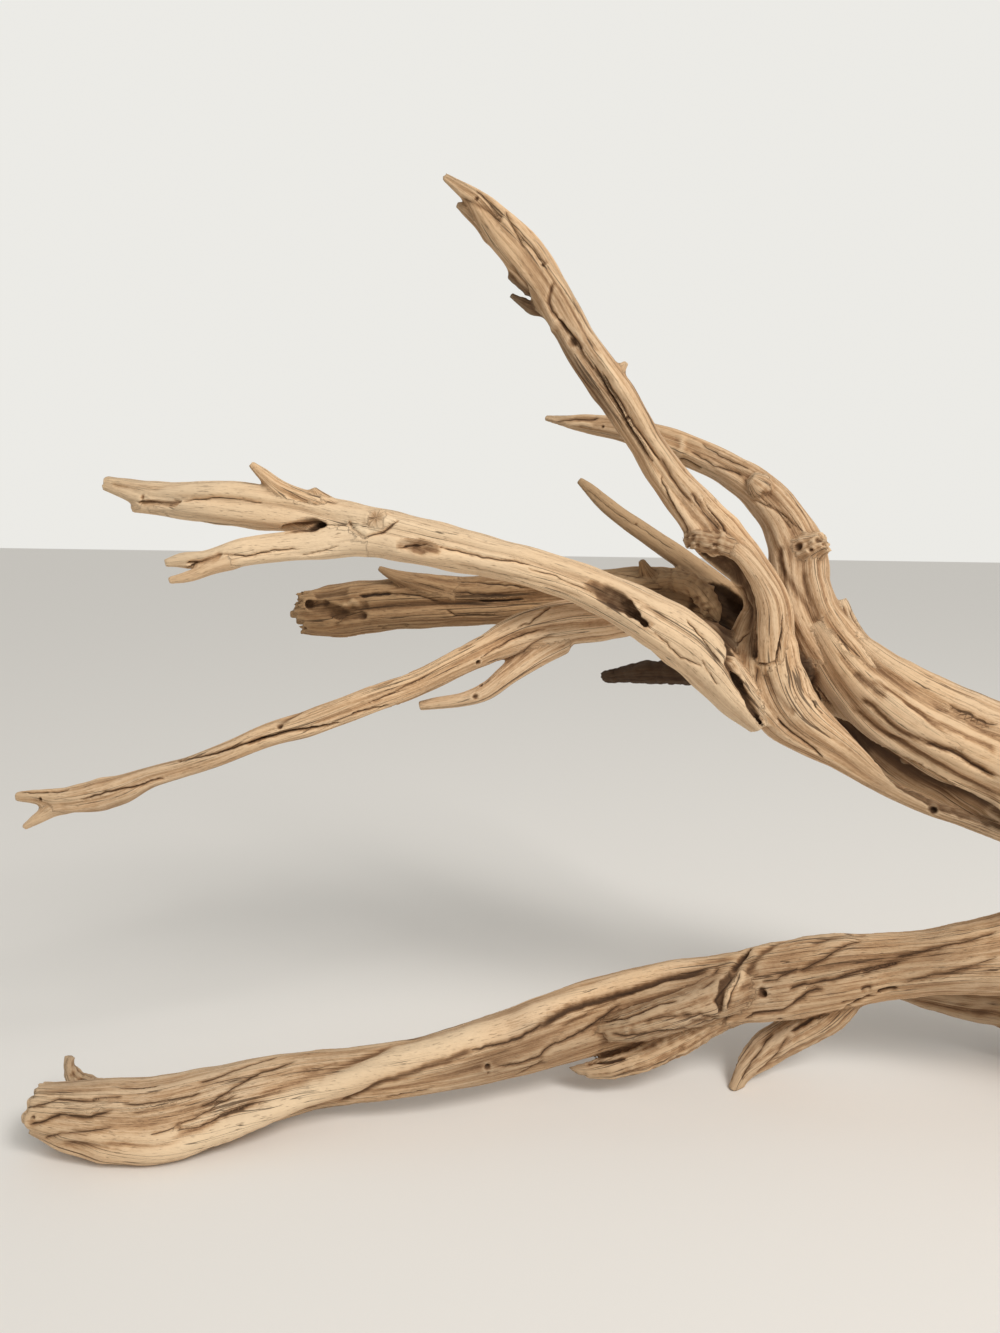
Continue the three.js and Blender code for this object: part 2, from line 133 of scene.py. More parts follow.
def noise(a, b, c):
    """Smooth noise from -1 to 1 at three arrays of coordinates; it repeats every 64."""
    near = []
    past = []
    part = []
    for axis, shift in ((a, 2 * NOISE_BITS), (b, NOISE_BITS), (c, 0)):
        whole = np.floor(axis)
        rest = (axis - whole).astype(np.float32)
        part.append(rest * rest * (3 - 2 * rest))
        whole = whole.astype(np.int32)
        near.append((whole & NOISE_MASK) << shift)
        past.append((whole + 1 & NOISE_MASK) << shift)

    def row(x, y):
        xy = x + y
        first = NOISE_BLOCK[xy + near[2]]
        return first + (NOISE_BLOCK[xy + past[2]] - first) * part[2]

    def sheet(x):
        first = row(x, near[1])
        return first + (row(x, past[1]) - first) * part[1]

    first = sheet(near[0])
    return first + (sheet(past[0]) - first) * part[0]


def step(values, low, high):
    """A smooth rise from 0 at low to 1 at high."""
    t = np.clip((values - low) / (high - low), 0, 1)
    return t * t * (3 - 2 * t)


def soft_min(a, b, width):
    """The lower of two fields, rounded where they meet."""
    near = np.maximum(width - np.abs(a - b), 0)
    return np.minimum(a, b) - near * near / (4 * width)


class Mark:
    """A crack, groove, ridge, ledge or hole along a path on a limb. The path's points are the
    distance along the limb and the angle round it, from the front to the top, in degrees."""

    def __init__(self, kind, width, depth, dark, *path):
        self.kind = kind
        self.width = width
        self.depth = depth
        self.dark = dark
        self.path = path

    def lay(self, limb):
        """Find the path's places on the unrolled surface of its limb."""
        along = np.array([point[0] for point in self.path], np.float32)
        turns = np.unwrap(np.radians([point[1] for point in self.path]))
        self.turn = turns.mean()
        self.radius = np.interp(along.mean(), limb.run, limb.size)
        self.spots = np.stack([along, (turns - self.turn) * self.radius], 1).astype(np.float32)
        margin = 3.0 * self.width + 2
        self.low = self.spots.min(0) - margin
        self.high = self.spots.max(0) + margin

    def carve(self, along, turn, rise, dark, split):
        """Add the mark to the surface's rise and darkness at places on the limb. split tells
        how far to one side of a thin split each place is, and how wide the split is open."""
        off = turn - self.turn
        off = (off - 2 * math.pi * np.rint(off / (2 * math.pi))) * self.radius
        near = np.nonzero((along > self.low[0]) & (along < self.high[0])
                          & (off > self.low[1]) & (off < self.high[1]))[0]
        if len(near) == 0:
            return
        s, w = along[near], off[near]
        w = w + SWAY * noise(s / 9 + 7, w / 9, s / 40 + self.turn)
        w = w + SHAKE * noise(s / 2.6, w / 9, s / 50 + self.turn)
        best = np.full(len(near), 1e9, np.float32)
        side = np.zeros(len(near), np.float32)
        share = np.zeros(len(near), np.float32)
        last = max(1, len(self.spots) - 1)
        for i in range(last):
            start = self.spots[i]
            run = self.spots[min(i + 1, len(self.spots) - 1)] - start
            gap_s, gap_w = s - start[0], w - start[1]
            t = np.clip((gap_s * run[0] + gap_w * run[1]) / max(run @ run, 1e-6), 0, 1)
            gap_s = gap_s - t * run[0]
            gap_w = gap_w - t * run[1]
            away = np.hypot(gap_s, gap_w)
            closer = away < best
            best = np.where(closer, away, best)
            side = np.where(closer, np.sign(run[0] * gap_w - run[1] * gap_s), side)
            share = np.where(closer, (i + t) / last, share)
        ends = step(share, -0.02, 0.12) * step(1 - share, -0.02, 0.12)
        d = best / self.width
        if self.kind == "hole":
            shape = 0.3 * np.exp(-((d - 1.3) / 0.4) ** 2) - np.exp(-(d / 0.8) ** 4)
            tone = np.exp(-(d / 0.85) ** 4)
        elif self.kind == "crack":
            shape = -np.clip(1.2 - d / (0.3 + 0.7 * ends), 0, 1)
            tone = -shape
        elif self.kind == "groove":
            shape = -np.exp(-d * d) * ends
            tone = -shape
        elif self.kind == "ridge":
            shape = np.exp(-d * d) * (0.4 + 0.6 * ends)
            tone = shape
        else:
            # a ledge: the wood drops beside the path and comes back slowly; the foot of the drop is
            # darkened with painted shadow
            drop = step(side * best, -0.4, 0.6)
            shape = -drop * np.exp(-best / (1.6 * self.width)) * ends
            tone = drop * np.exp(-best / (0.5 * self.width)) * ends
        rise[near] += self.depth * shape
        tone = self.dark * min(1, self.width / 0.9) * np.clip(tone, 0, 1) ** 1.4
        if self.kind in ("crack", "groove") and self.width < THIN and self.dark > 0:
            tone *= 0.6
            ragged = 0.8 + 0.5 * noise(s / 3 + 3, w / 9, s / 70 + self.turn)
            wide = 0.5 * self.width * self.dark * ends * ragged * step(-best, -2.4, -1.6)
            nearer = np.nonzero(best < np.abs(split[near, 0]))[0]
            split[near[nearer], 0] = np.where(side < 0, -best, best)[nearer]
            split[near[nearer], 1] = wide[nearer]
        dark[near] += np.where(tone > 0, tone * (1 - np.maximum(dark[near], 0)), tone)


crack, groove, ridge, ledge, hole = (
    partial(Mark, kind) for kind in ("crack", "groove", "ridge", "ledge", "hole"))


def smooth_line(points):
    """Points of a centripetal Catmull-Rom curve through the stations."""
    ends = np.vstack([2 * points[0] - points[1], points, 2 * points[-1] - points[-2]])
    gaps = np.sqrt(np.linalg.norm(np.diff(ends, axis=0), axis=1))
    t = np.linspace(0, 1, CURVE_STEPS, endpoint=False)[:, None]
    pieces = []
    for i in range(len(points) - 1):
        p0, p1, p2, p3 = ends[i:i + 4]
        d0, d1, d2 = gaps[i:i + 3]
        leave = ((p1 - p0) / d0 - (p2 - p0) / (d0 + d1) + (p2 - p1) / d1) * d1
        arrive = ((p2 - p1) / d1 - (p3 - p1) / (d1 + d2) + (p3 - p2) / d2) * d1
        cubic = 2 * p1 - 2 * p2 + leave + arrive
        square = -3 * p1 + 3 * p2 - 2 * leave - arrive
        pieces.append(cubic * t ** 3 + square * t ** 2 + leave * t + p1)
    return np.vstack([*pieces, points[-1:]])


class Limb:
    """One tube of wood: its middle line, its section, and what is carved into it. depth is
    the section's depth as a share of its height, torn how ragged the two ends are, root the
    length in which the limb dies away inside the wood, and crinkle how high its knobs are."""

    def __init__(self, line, depth=1.0, ridges=(), torn=(0, 0), root=8, flutes=1.0,
                 shade=0.0, crinkle=0.0, marks=()):
        stations = np.array(line, float)
        curve = smooth_line(stations[:, :3])
        share = np.linspace(0, 1, len(curve))
        run = np.concatenate([[0], np.cumsum(np.linalg.norm(np.diff(curve, axis=0), axis=1))])
        count = max(4, round(run[-1] / SAMPLE) + 1)
        self.length = run[-1]
        self.spacing = self.length / (count - 1)
        self.run = np.linspace(0, self.length, count)
        centre = np.stack([np.interp(self.run, run, curve[:, k]) for k in range(3)], 1)
        self.share = np.interp(self.run, run, share)
        sizes = np.interp(np.arange(len(curve)) / CURVE_STEPS, np.arange(len(stations)),
                          stations[:, 3])
        self.size = np.interp(self.run, run, sizes).astype(np.float32)
        along = np.gradient(centre, axis=0)
        along /= np.linalg.norm(along, axis=1, keepdims=True)
        front = np.array([0, -1, 0]) + along * along[:, 1:2]
        front /= np.linalg.norm(front, axis=1, keepdims=True)
        self.centre = centre.astype(np.float32)
        self.along = along.astype(np.float32)
        self.front = front.astype(np.float32)
        self.upper = np.cross(front, along).astype(np.float32)
        self.low = (centre - self.size[:, None]).min(0)
        self.high = (centre + self.size[:, None]).max(0)
        self.stations = len(line)
        self.depth = depth
        self.ridges = ridges
        self.torn = torn
        self.root = root
        self.flutes = flutes
        self.shade = shade
        self.crinkle = crinkle
        self.girth = self.size.mean()
        self.marks = marks
        for mark in marks:
            mark.lay(self)

    def close(self, points, reach):
        """Which points are about the limb, the nearest sample of its line, and how far its
        plain surface is from them."""
        about = np.nonzero(((points > self.low - reach) & (points < self.high + reach)).all(1))[0]
        part = points[about]
        square = (self.centre ** 2).sum(1) - 2 * part @ self.centre.T
        index = square.argmin(1)
        gap = np.linalg.norm(part - self.centre[index], axis=1) - self.size[index]
        keep = gap < reach
        return about[keep], index[keep], gap[keep]

    def place(self, points, index):
        """Distance along the limb, and place in its section, of points near a sample."""
        last = len(self.run) - 1

        def reached(index):
            beyond = ((points - self.centre[index]) * self.along[index]).sum(1)
            return index * self.spacing + beyond

        for _ in range(2):
            index = np.clip(np.rint(reached(index) / self.spacing), 0, last).astype(np.int32)
        along = reached(index)
        low = np.clip(np.floor(along / self.spacing), 0, last - 1).astype(np.int32)
        share = np.clip(along / self.spacing - low, 0, 1)[:, None].astype(np.float32)

        def between(line):
            return line[low] + (line[low + 1] - line[low]) * share

        away = points - between(self.centre)
        x = (away * between(self.front)).sum(1)
        y = (away * between(self.upper)).sum(1)
        return along.astype(np.float32), x / self.depth, y

    def section(self, along, turn):
        """Half thickness at places on the limb, plain and with the solids' ridges and lumps.
        A limb dies away at its root, inside the wood that it grows from."""
        share = np.interp(along, self.run, self.share).astype(np.float32)
        size = np.interp(along, self.run, self.size).astype(np.float32)
        if self.root:
            size = size * (1 - ROOT_FADE * step(along, self.length - self.root, self.length))
        wave = 2 * math.pi * share * self.length / LUMP_LENGTH
        seed = self.stations
        lump = 0.6 * np.sin(wave + 2 * turn + seed) + 0.4 * np.sin(2.3 * wave - 3 * turn + 2 * seed)
        form = 1 + LUMP_SIZE * self.flutes * lump
        for ridge in self.ridges:
            at, wind, height, width, start, stop = (*ridge, -1, 2)[:6]
            fade = step(share, start, start + RIDGE_FADE) * step(-share, -stop, RIDGE_FADE - stop)
            off = turn - np.radians(at + wind * share)
            off = (off - 2 * math.pi * np.rint(off / (2 * math.pi))) / math.radians(width)
            form = form + fade * height * np.exp(-off * off)
        return size, size * form

    def field(self, points, index, look=False):
        """Distance to the wood's surface. With look also how dark the wood is there, and the
        place in its grain."""
        along, x, y = self.place(points, index)
        turn = np.arctan2(y, x)
        size, reach = self.section(along, turn)
        value = np.hypot(x, y) - reach
        scale = np.float32(min(1.0, 0.5 + 0.5 * self.depth))
        skin = np.nonzero(np.abs(value) < SKIN + 0.1 * size)[0]
        dark = np.zeros(len(points), np.float32)
        place = np.stack([along, x, y, np.full(len(along), UNSPLIT), np.zeros(len(along))], 1)
        if len(skin):
            rise, dark[skin], place[skin] = self.grown(
                points[skin], along[skin], turn[skin], size[skin])
            value[skin] -= rise
        value *= scale
        start, stop = -along, along - self.length
        if self.torn[0] or self.torn[1]:
            ends = np.nonzero(np.maximum(start, stop) > -2 * max(self.torn) - 2)[0]
            x, y, s = x[ends], y[ends], along[ends]
            rag = noise(x / 2.3 + 5, y / 2.3, s / 40) + 0.6 * noise(x / 1.1, y / 1.1 + 9, s / 25)
            start[ends] += self.torn[0] * (TORN_SHARE * rag + 0.15)
            stop[ends] += self.torn[1] * TORN_SHARE * rag
        value = np.maximum(value, np.maximum(start, stop))
        if look:
            return value, dark, place
        return value

    def grown(self, points, along, turn, size):
        """What flutes, fibres, dents and marks add to the half thickness near the surface."""
        seed = self.stations * 3.7 + self.length * 0.1
        ux = np.cos(turn)
        uy = np.sin(turn)
        gx = self.girth * ux
        gy = self.girth * uy
        fine = np.clip(size / 9, 0.4, 1.1)
        bulk = np.minimum(size, 13) * self.flutes
        # flutes: rounded swells with sharp valleys between them, all along the grain
        many = math.sqrt(self.girth / 12)
        reach = along / (45 + 2.5 * self.girth)
        wide = noise(0.7 * reach + seed, 1.1 * ux + seed, 1.1 * uy)
        flute = np.abs(noise(reach + seed, 2.3 * many * ux + 9, 2.3 * many * uy + seed)) - 0.25
        rib = np.abs(noise(1.4 * reach + seed, 4.8 * many * ux + seed, 4.8 * many * uy + 3)) - 0.25
        # fibres
        fibre = noise(along / 36 + seed, gx / 1.8 + 5, gy / 1.8 + seed)
        thread = noise(along / 20 + seed, gx / 0.9 + seed, gy / 0.9 + 3)
        dent = noise(points[:, 0] / 9, points[:, 1] / 9 + seed, points[:, 2] / 9)
        rise = bulk * (SWELL_HEIGHT * wide + FLUTE_HEIGHT * flute + RIB_HEIGHT * rib)
        rise = rise + fine * (FIBRE_HEIGHT * fibre + THREAD_HEIGHT * thread + DENT_HEIGHT * dent)
        if self.crinkle:
            p, q, r = (points / CRINKLE_LENGTH).T
            rise = rise + self.crinkle * (noise(p, q + seed, r) + 0.5 * noise(2 * p, 2 * q, 2 * r))
        dark = np.full(len(along), self.shade, np.float32)
        split = np.full((len(along), 2), (UNSPLIT, 0), np.float32)
        for mark in self.marks:
            mark.carve(along, turn, rise, dark, split)
        return rise, dark, np.hstack([np.stack([along + 10 * seed, gx, gy], 1), split])


limbs = {}
hollows = []


def grow(node, line, **form):
    """Add a limb to a node."""
    limbs.setdefault(node, []).append(Limb(line, **form))


def hollow_out(dark, *line):
    """Take a line of the same kind as a limb's out of the wood, and say how dark it is inside; that
    darkness is painted shade.
    """
    hollows.append(Limb(line, shade=dark))


# The limbs have the same stations and ridges as the solids. A station is x, y, z and half
# thickness; a ridge is start angle, turn, height, width, and where it starts and stops. A mark is
# half width, depth, darkness, and its path as distance along the limb and angle round it; the
# paths were laid after the photo.

# The trunk: the stem, from the fork to its butt
grow("trunk", [
    (34, 47, 236, 10), (47, 46, 217, 18), (65, 44, 199, 24), (94, 43, 181, 28), (120, 42, 170, 29),
    (150, 42, 156, 30), (178, 42, 139, 31), (204, 40, 118, 33), (228, 37, 90, 36), (249, 34, 60, 38),
    (264, 32, 30, 40), (273, 31, -8, 43),
], ridges=[
    (62, 10, 0.1, 22), (32, 12, -0.1, 10), (8, 14, 0.08, 16), (-22, 12, -0.12, 10), (-58, 0, -0.2, 20),
    (-100, 0, 0.18, 26, 0.08, 0.3), (130, -20, -0.12, 14), (178, 10, 0.1, 24), (222, 10, -0.14, 14),
], marks=[
    ledge(3, 1.8, 0.2, (98, 46), (58, 48), (27, 40)), groove(1.1, 1.2, 0.7, (72, 46), (98, 46)),
    groove(1.6, 1.8, 0.3, (30, 12), (48, 24), (67, 20), (94, 24), (101, 20)),
    groove(2.4, 0.9, 0.35, (28, 8), (47, 14)),
    groove(1.6, 2.2, 0.4, (39, -8), (46, -4), (62, -6), (86, 6), (106, 0)),
    groove(1.1, 1.4, 0.7, (71, -2), (86, 4), (106, 0)),
    groove(1.4, 1.5, 0.3, (54, -20), (85, -14), (112, -20)),
    groove(1.2, 1.2, 0.2, (53, 22), (64, 20), (79, 12), (103, 12)),
    groove(1.2, 1.2, 0.2, (39, -28), (49, -22), (59, -20), (69, -10)),
    groove(1.1, 1.1, 0.2, (63, 40), (87, 40), (100, 36)),
    ledge(6, 4.5, 0.3, (115, -34), (88, -28), (77, -28), (59, -38), (44, -62), (33, -90)),
    # the wide dark groove and, below, the flat dark patch are painted shade in the band between the slab
    # and the strand
    groove(8, 3.2, 0.95, (43, -78), (56, -66), (91, -56), (103, -42), (117, -40)),
    crack(1, 1.8, 0.9, (18, -90), (26, -76), (32, -76)), crack(0.9, 1.5, 0.7, (20, -72), (35, -64)),
    groove(5, 0, 0.95, (41, -76), (47, -78), (61, -70)), groove(1.4, 1.2, 0.3, (15, 10), (47, 10)),
    ridge(7, 0, -0.12, (42, 14), (78, 42), (98, 48)),
], depth=0.86, root=0, flutes=0.2, shade=-0.05)
# a stump in the fork
grow("trunk", [
    (45, 56, 245, 5), (48, 52, 234, 7.5), (55, 48, 220, 9), (68, 44, 204, 10), (84, 42, 190, 9),
], marks=[
    groove(1, 2, 0.9, (-1, -20), (29, -15)), groove(1, 2, 0.9, (2, 20), (32, 15)),
    groove(0.9, 1.5, 0.7, (5, 55), (28, 40)),
], torn=(3, 0), crinkle=0.4)
# the low root behind, darkened with painted shade
grow("trunk", [
    (86, 67, 40, 3), (104, 70, 38, 7), (122, 73, 36, 10), (142, 76, 34, 12), (168, 80, 24, 16),
    (196, 79, 16, 20), (224, 66, 24, 25), (248, 46, 40, 28),
], ridges=[
    (30, 30, 0.14, 22), (-20, 30, -0.14, 14), (150, 20, 0.12, 24),
], shade=0.4)
# the dark broken twig: partly darker wood, partly painted shade
grow("trunk", [
    (-71, 78, 199, 3), (-60, 74, 202, 4), (-46, 68, 205, 6), (-29, 60, 207, 6), (-11, 52, 212, 8),
    (10, 47, 215, 9), (40, 46, 216, 11),
], torn=(3, 0), shade=1.0, crinkle=0.8)

# The table limb, from its left end to the trunk
grow("table_limb", [
    (-307, -95, 21, 11), (-296, -93, 20, 12.5), (-274, -88, 18, 15.5), (-254, -80, 16, 16.5),
    (-235, -68, 16, 16.5), (-215, -57, 18, 15.5), (-194, -46, 20, 13.5), (-171, -39, 22, 12.5),
    (-144, -31, 25, 13), (-117, -17, 28, 15), (-90, -1, 32, 17), (-62, 15, 37, 18), (-33, 26, 42, 18.5),
    (-3, 33, 47, 18), (26, 39, 51, 19), (51, 44, 56, 18.5), (75, 49, 60, 16.5), (99, 50, 65, 16.5),
    (117, 50, 69, 18), (131, 50, 72, 20), (160, 50, 80, 23), (190, 47, 88, 26), (218, 42, 92, 28),
], ridges=[
    (-72, 290, 0.26, 30, 0, 0.5), (-112, 290, -0.16, 20, 0.12, 0.56), (20, 20, -0.12, 14, 0, 0.2),
    (30, 20, -0.12, 14, 0.62, 1), (-10, 20, 0.1, 20, 0.62, 1), (-80, 30, -0.12, 18, 0.5, 1),
    (150, 60, 0.12, 26), (210, 60, -0.12, 18),
], marks=[
    groove(0.9, 1, 0.6, (-3, 35), (4, 40), (14, 60), (33, 55)),
    groove(1, 1.3, 0.75, (2, -5), (7, 5), (16, 30), (29, 30), (39, 45)),
    groove(0.8, 0.8, 0.52, (28, 60), (41, 64)), groove(0.8, 0.8, 0.52, (38, 82), (56, 80)),
    groove(0.9, 0.9, 0.6, (40, 52), (76, 50)), groove(1, 1, 0.52, (74, 68), (82, 68), (104, 90), (112, 94)),
    groove(1.1, 1, 0.6, (73, 28), (81, 32), (103, 62), (121, 70)),
    groove(0.9, 0.9, 0.52, (61, 10), (73, 16), (93, 34)), groove(1, 0.6, 0.3, (75, 16), (107, 12)),
    groove(0.9, 0.9, 0.52, (9, -32), (17, -8), (40, 16)), groove(1, 0.7, 0.38, (53, 6), (65, 10)),
    groove(1.6, 1.2, 0.35, (17, -28), (34, -12), (60, -6), (90, 10)),
    groove(0.8, 0.6, 0.3, (15, 42), (29, 44), (38, 54)),
    groove(0.8, 0.6, 0.3, (45, 38), (55, 42), (64, 42)), hole(1.2, 1.2, 0.8, (4, 15)),
    ridge(6, 3.2, -0.8, (36, -20), (89, -10), (131, 10), (170, 50), (187, 55), (217, 55)),
    groove(1.2, 1.6, 0.6, (62, 4), (72, 2), (102, 16)),
    groove(2.6, 2.2, 0.2, (82, 5), (134, 35), (167, 80)),
    groove(1.6, 2.2, 0.6, (137, -45), (160, 10), (186, 30), (204, 35)),
    groove(0.8, 0.9, 0.5, (160, -40), (181, -30)), groove(0.8, 0.6, 0.3, (121, 50), (131, 50), (141, 60)),
    groove(1, 1.6, 0.9, (200, 34), (220, 30), (239, 40)),
    groove(1.7, 2.8, 1, (233, 36), (254, 50), (287, 52), (309, 60), (331, 64)),
    ridge(4, 1.4, -0.3, (227, 54), (273, 74), (332, 82)), hole(1.5, 2.5, 1, (208, -4)),
    hole(0.8, 0.7, 0.7, (208, -16)),
    groove(0.9, 1.3, 0.8, (210, -6), (223, -14), (233, -10), (239, 2), (255, 8), (268, 18), (284, 38)),
    groove(0.8, 0.9, 0.5, (214, -60), (236, -16)), groove(0.8, 0.8, 0.3, (246, 26), (284, 48)),
    groove(1.4, 2.6, 1, (353, 92), (348, 82), (340, 52)),
    groove(1.4, 1.2, 0.3, (379, 100), (368, 90), (357, 74), (349, 54), (339, 12)),
    groove(1.2, 1.2, 0.5, (374, 46), (360, 34), (353, 34)), hole(1.7, 2, 0.9, (353, 22)),
    groove(1.2, 1.2, 0.5, (314, -26), (324, -78), (329, -78), (333, -24), (338, -10)),
    groove(1, 0.9, 0.4, (324, 32), (335, 64)),
    groove(1.2, 1.5, 0.6, (343, -30), (348, -18), (363, -14), (376, 8), (384, 10)),
    groove(0.9, 1.3, 0.8, (359, -30), (370, -70)),
    groove(1.2, 1.6, 0.55, (366, 16), (372, 20), (389, 20), (407, 30), (432, 38)),
    groove(1, 1.2, 0.7, (402, 22), (424, 32)), groove(1.1, 1.2, 0.5, (373, 40), (409, 78)),
    groove(1.1, 1.2, 0.5, (421, 44), (450, 58), (473, 62)), groove(1.2, 2.2, 1, (409, -10), (421, -10)),
    groove(1, 1.8, 0.9, (400, 0), (406, 2)), groove(1.2, 2, 1, (392, -66), (395, -34), (406, -14)),
    groove(0.9, 1.5, 0.9, (398, 100), (405, 94)), groove(1.2, 1, 0.3, (422, 0), (447, 10), (470, 26)),
    groove(1, 0.9, 0.3, (390, -20), (399, -20), (410, -18)), groove(1.3, 0.9, 0.2, (382, 74), (413, 94)),
    ridge(12, 3.5, 0.01, (349, 70), (364, 78), (410, 88)),
    # a broad darker band over the right part: partly greyer wood, partly painted shade where the limb gets
    # less light
    groove(18, 0, 0.33, (169, 8), (243, -8), (289, 4), (333, 36), (413, 32), (471, 36)),
], depth=0.94, torn=(3, 0), flutes=0.35, shade=0.05)
# the hooked twig at its end
grow("table_limb", [
    (-312, -62, 27, 2), (-312, -63, 22, 3), (-307, -66, 18, 4), (-296, -70, 17, 5), (-276, -78, 19, 7),
], shade=0.3, crinkle=0.9)
# the high stub
grow("table_limb", [
    (-57, 1, 37, 5.5), (-46, 0, 41, 7.5), (-31, 3, 46, 8.5), (-14, 11, 50, 9), (0, 20, 53, 9),
    (14, 31, 55, 8), (28, 39, 57, 6),
], marks=[
    groove(1.3, 2.4, 1, (76, 115), (54, 20), (55, -5)), groove(1, 1.5, 0.8, (72, 75), (62, 25), (58, -15)),
    ridge(1.8, 1.4, -0.4, (74, 80), (59, 15)),
    groove(1.4, 0.9, 0.3, (36, 30), (41, -15), (50, -55), (55, -25)),
    groove(1, 0.9, 0.4, (50, 70), (59, 95)), groove(0.8, 1.3, 0.8, (0, 75), (12, 60), (29, 70), (37, 60)),
    groove(0.8, 1.2, 0.8, (4, 15), (10, -5), (27, -25), (40, -65)),
    groove(1.2, 1.2, 0.3, (18, 30), (29, 25), (44, 0), (55, -55)),
], torn=(4, 0), shade=0.35, crinkle=0.4)
# the low stub
grow("table_limb", [
    (-74, 1, 14, 1.2), (-67, 2, 13.5, 3), (-57, 4, 15.5, 5.5), (-40, 10, 21, 7.5), (-20, 19, 29, 8),
    (0, 28, 39, 8), (20, 35, 47, 7),
], marks=[
    crack(1.2, 2.2, 1, (9, 90), (18, 50), (27, 35)), groove(3, 1.6, 0.25, (16, 115), (45, 30)),
], torn=(3, 0), shade=0.2, crinkle=0.6)
# the spur that it stands on
grow("table_limb", [
    (5, 22, -2, 3), (10, 30, 6, 5), (19, 38, 13, 8), (33, 44, 22, 9), (50, 47, 34, 10), (68, 50, 54, 8),
], marks=[
    groove(1.2, 2, 1, (45, 30), (60, 30), (68, 20)), ledge(3, 2, 0.6, (4, 60), (22, 120), (27, 115)),
    groove(0.9, 1.1, 0.6, (38, 60), (17, 25), (7, -5)), groove(0.9, 1, 0.4, (44, 25), (15, -50)),
], torn=(2, 0), shade=0.2, crinkle=0.3)

# The upright limb, from its tip down to the strand along the trunk
grow("upright_limb", [
    (-136, 2, 435, 1.5), (-129, 2, 430, 2.8), (-121, 3, 424, 4.5), (-111, 4, 412, 8), (-101, 5, 401, 9),
    (-91, 6, 388, 8), (-77, 8, 365, 8), (-65, 9, 348, 8.5), (-57, 10, 337, 8.5), (-46, 11, 320, 7.5),
    (-35, 12, 304, 8), (-24, 13, 291, 9.5), (-13, 14, 278, 11), (1, 16, 264, 9), (10, 18, 249, 9.5),
    (10, 19, 230, 14), (14, 19, 212, 15.5), (24, 18, 196, 14), (46, 16, 181, 8.5), (65, 20, 167, 5.5),
    (87, 25, 155, 4), (105, 29, 148, 3.5), (123, 32, 141, 3.5), (142, 37, 133, 3),
], ridges=[
    (10, -30, -0.16, 13), (50, -10, 0.12, 22), (-40, 20, 0.1, 20), (150, 20, -0.14, 16), (220, 20, 0.1, 24),
], marks=[
    groove(0.9, 1.2, 0.5, (15, 50), (33, 30)), groove(0.8, 1.2, 0.5, (27, 85), (33, 45), (50, 15)),
    groove(0.8, 1, 0.4, (42, 35), (56, 35), (60, 40)),
    groove(1.3, 0.9, 0.35, (11, -60), (26, 10), (34, 20)), hole(1.1, 0.8, 0.6, (18, 5)),
    ledge(2.4, 2, 0.7, (82, -50), (75, -80), (67, -85), (61, -45), (49, -35)),
    # a darker stripe on the lower left face, with no relief: painted shade
    groove(4.5, 0, 0.4, (56, -55), (66, -95), (80, -85), (93, -60), (114, -50), (135, -85)),
    ledge(5, 2.6, 0.5, (163, -20), (104, 0), (90, 0), (81, -15)),
    crack(0.9, 1.4, 0.8, (80, -20), (94, 5), (98, 0)),
    crack(0.9, 1.4, 0.8, (107, 5), (124, -15), (156, -15)),
    groove(0.8, 1.4, 0.5, (67, 30), (70, 0), (73, -20), (77, -25), (81, -15)),
    hole(2.5, 1.2, 0.5, (93, -10)), ridge(1.6, 1.5, -0.3, (104, 30), (124, 15)),
    crack(0.8, 1.3, 0.7, (111, 10), (130, 0), (158, 10)), hole(1.2, 1, 0.6, (134, -5)),
    crack(0.6, 0.9, 0.4, (63, 90), (75, 85), (100, 90)), hole(0.9, 1, 0.9, (59, 30)),
    crack(0.8, 1.4, 0.7, (164, -20), (191, -45)), groove(1, 1.2, 0.6, (177, 25), (199, 15)),
    crack(0.7, 1.2, 0.7, (183, 40), (213, 15), (220, 20), (227, 10)),
    groove(1, 0.9, 0.4, (156, 20), (182, 5)),
    crack(0.7, 1.2, 0.7, (252, -36), (264, -82), (272, -74), (288, -38)),
    groove(1, 0.9, 0.4, (266, -18), (272, -24), (286, -26)), groove(1.6, 1, 0.35, (268, -6), (295, 12)),
    crack(1.1, 2.2, 0.9, (249, 58), (258, 50), (266, 54), (276, 66), (286, 66), (294, 54), (305, 50)),
    crack(0.8, 1.4, 0.8, (291, -20), (298, -20), (310, -25), (320, -45)),
    # a deep groove left of the tongue and a flat darker patch beside it, both darkened with painted shade
    groove(3, 2.4, 0.8, (224, -65), (233, -70), (252, -25), (264, -15)),
    groove(6, 0, 0.25, (244, -74), (255, -40), (276, -28)),
    # a flat darker stain along the strand: painted shade
    groove(6, 0, 0.15, (315, 5), (360, 10), (388, -25), (408, -15)),
], depth=0.95, torn=(2, 0), shade=0.03)
# the second point of its tip
grow("upright_limb", [
    (-131, 4, 424, 1.2), (-125, 4, 420, 2.5), (-118, 4, 415, 4), (-110, 5, 407, 6),
], shade=0.3)
# the tongue below the collar
grow("upright_limb", [
    (-9, 5, 275, 3), (-2, 5, 270, 3.5), (6, 5, 260, 4.5), (11, 6, 249, 6), (12, 7, 238, 7),
    (13, 9, 226, 6.5), (15, 13, 213, 5),
], marks=[
    crack(0.9, 1.8, 1, (38, 55), (47, 45), (58, 20), (59, -10), (59, -55)),
], torn=(3, 0))
# the torn collar, darkened with painted shadow
grow("upright_limb", [
    (-27, 7, 277, 2.5), (-20, 4, 277, 4), (-13, 3, 276, 4.5), (-7, 5, 274, 3.5), (-2, 10, 271, 3),
], marks=[
    hole(0.9, 0.9, 0.8, (14, -15)),
], torn=(2, 1), shade=0.3, crinkle=1.3)
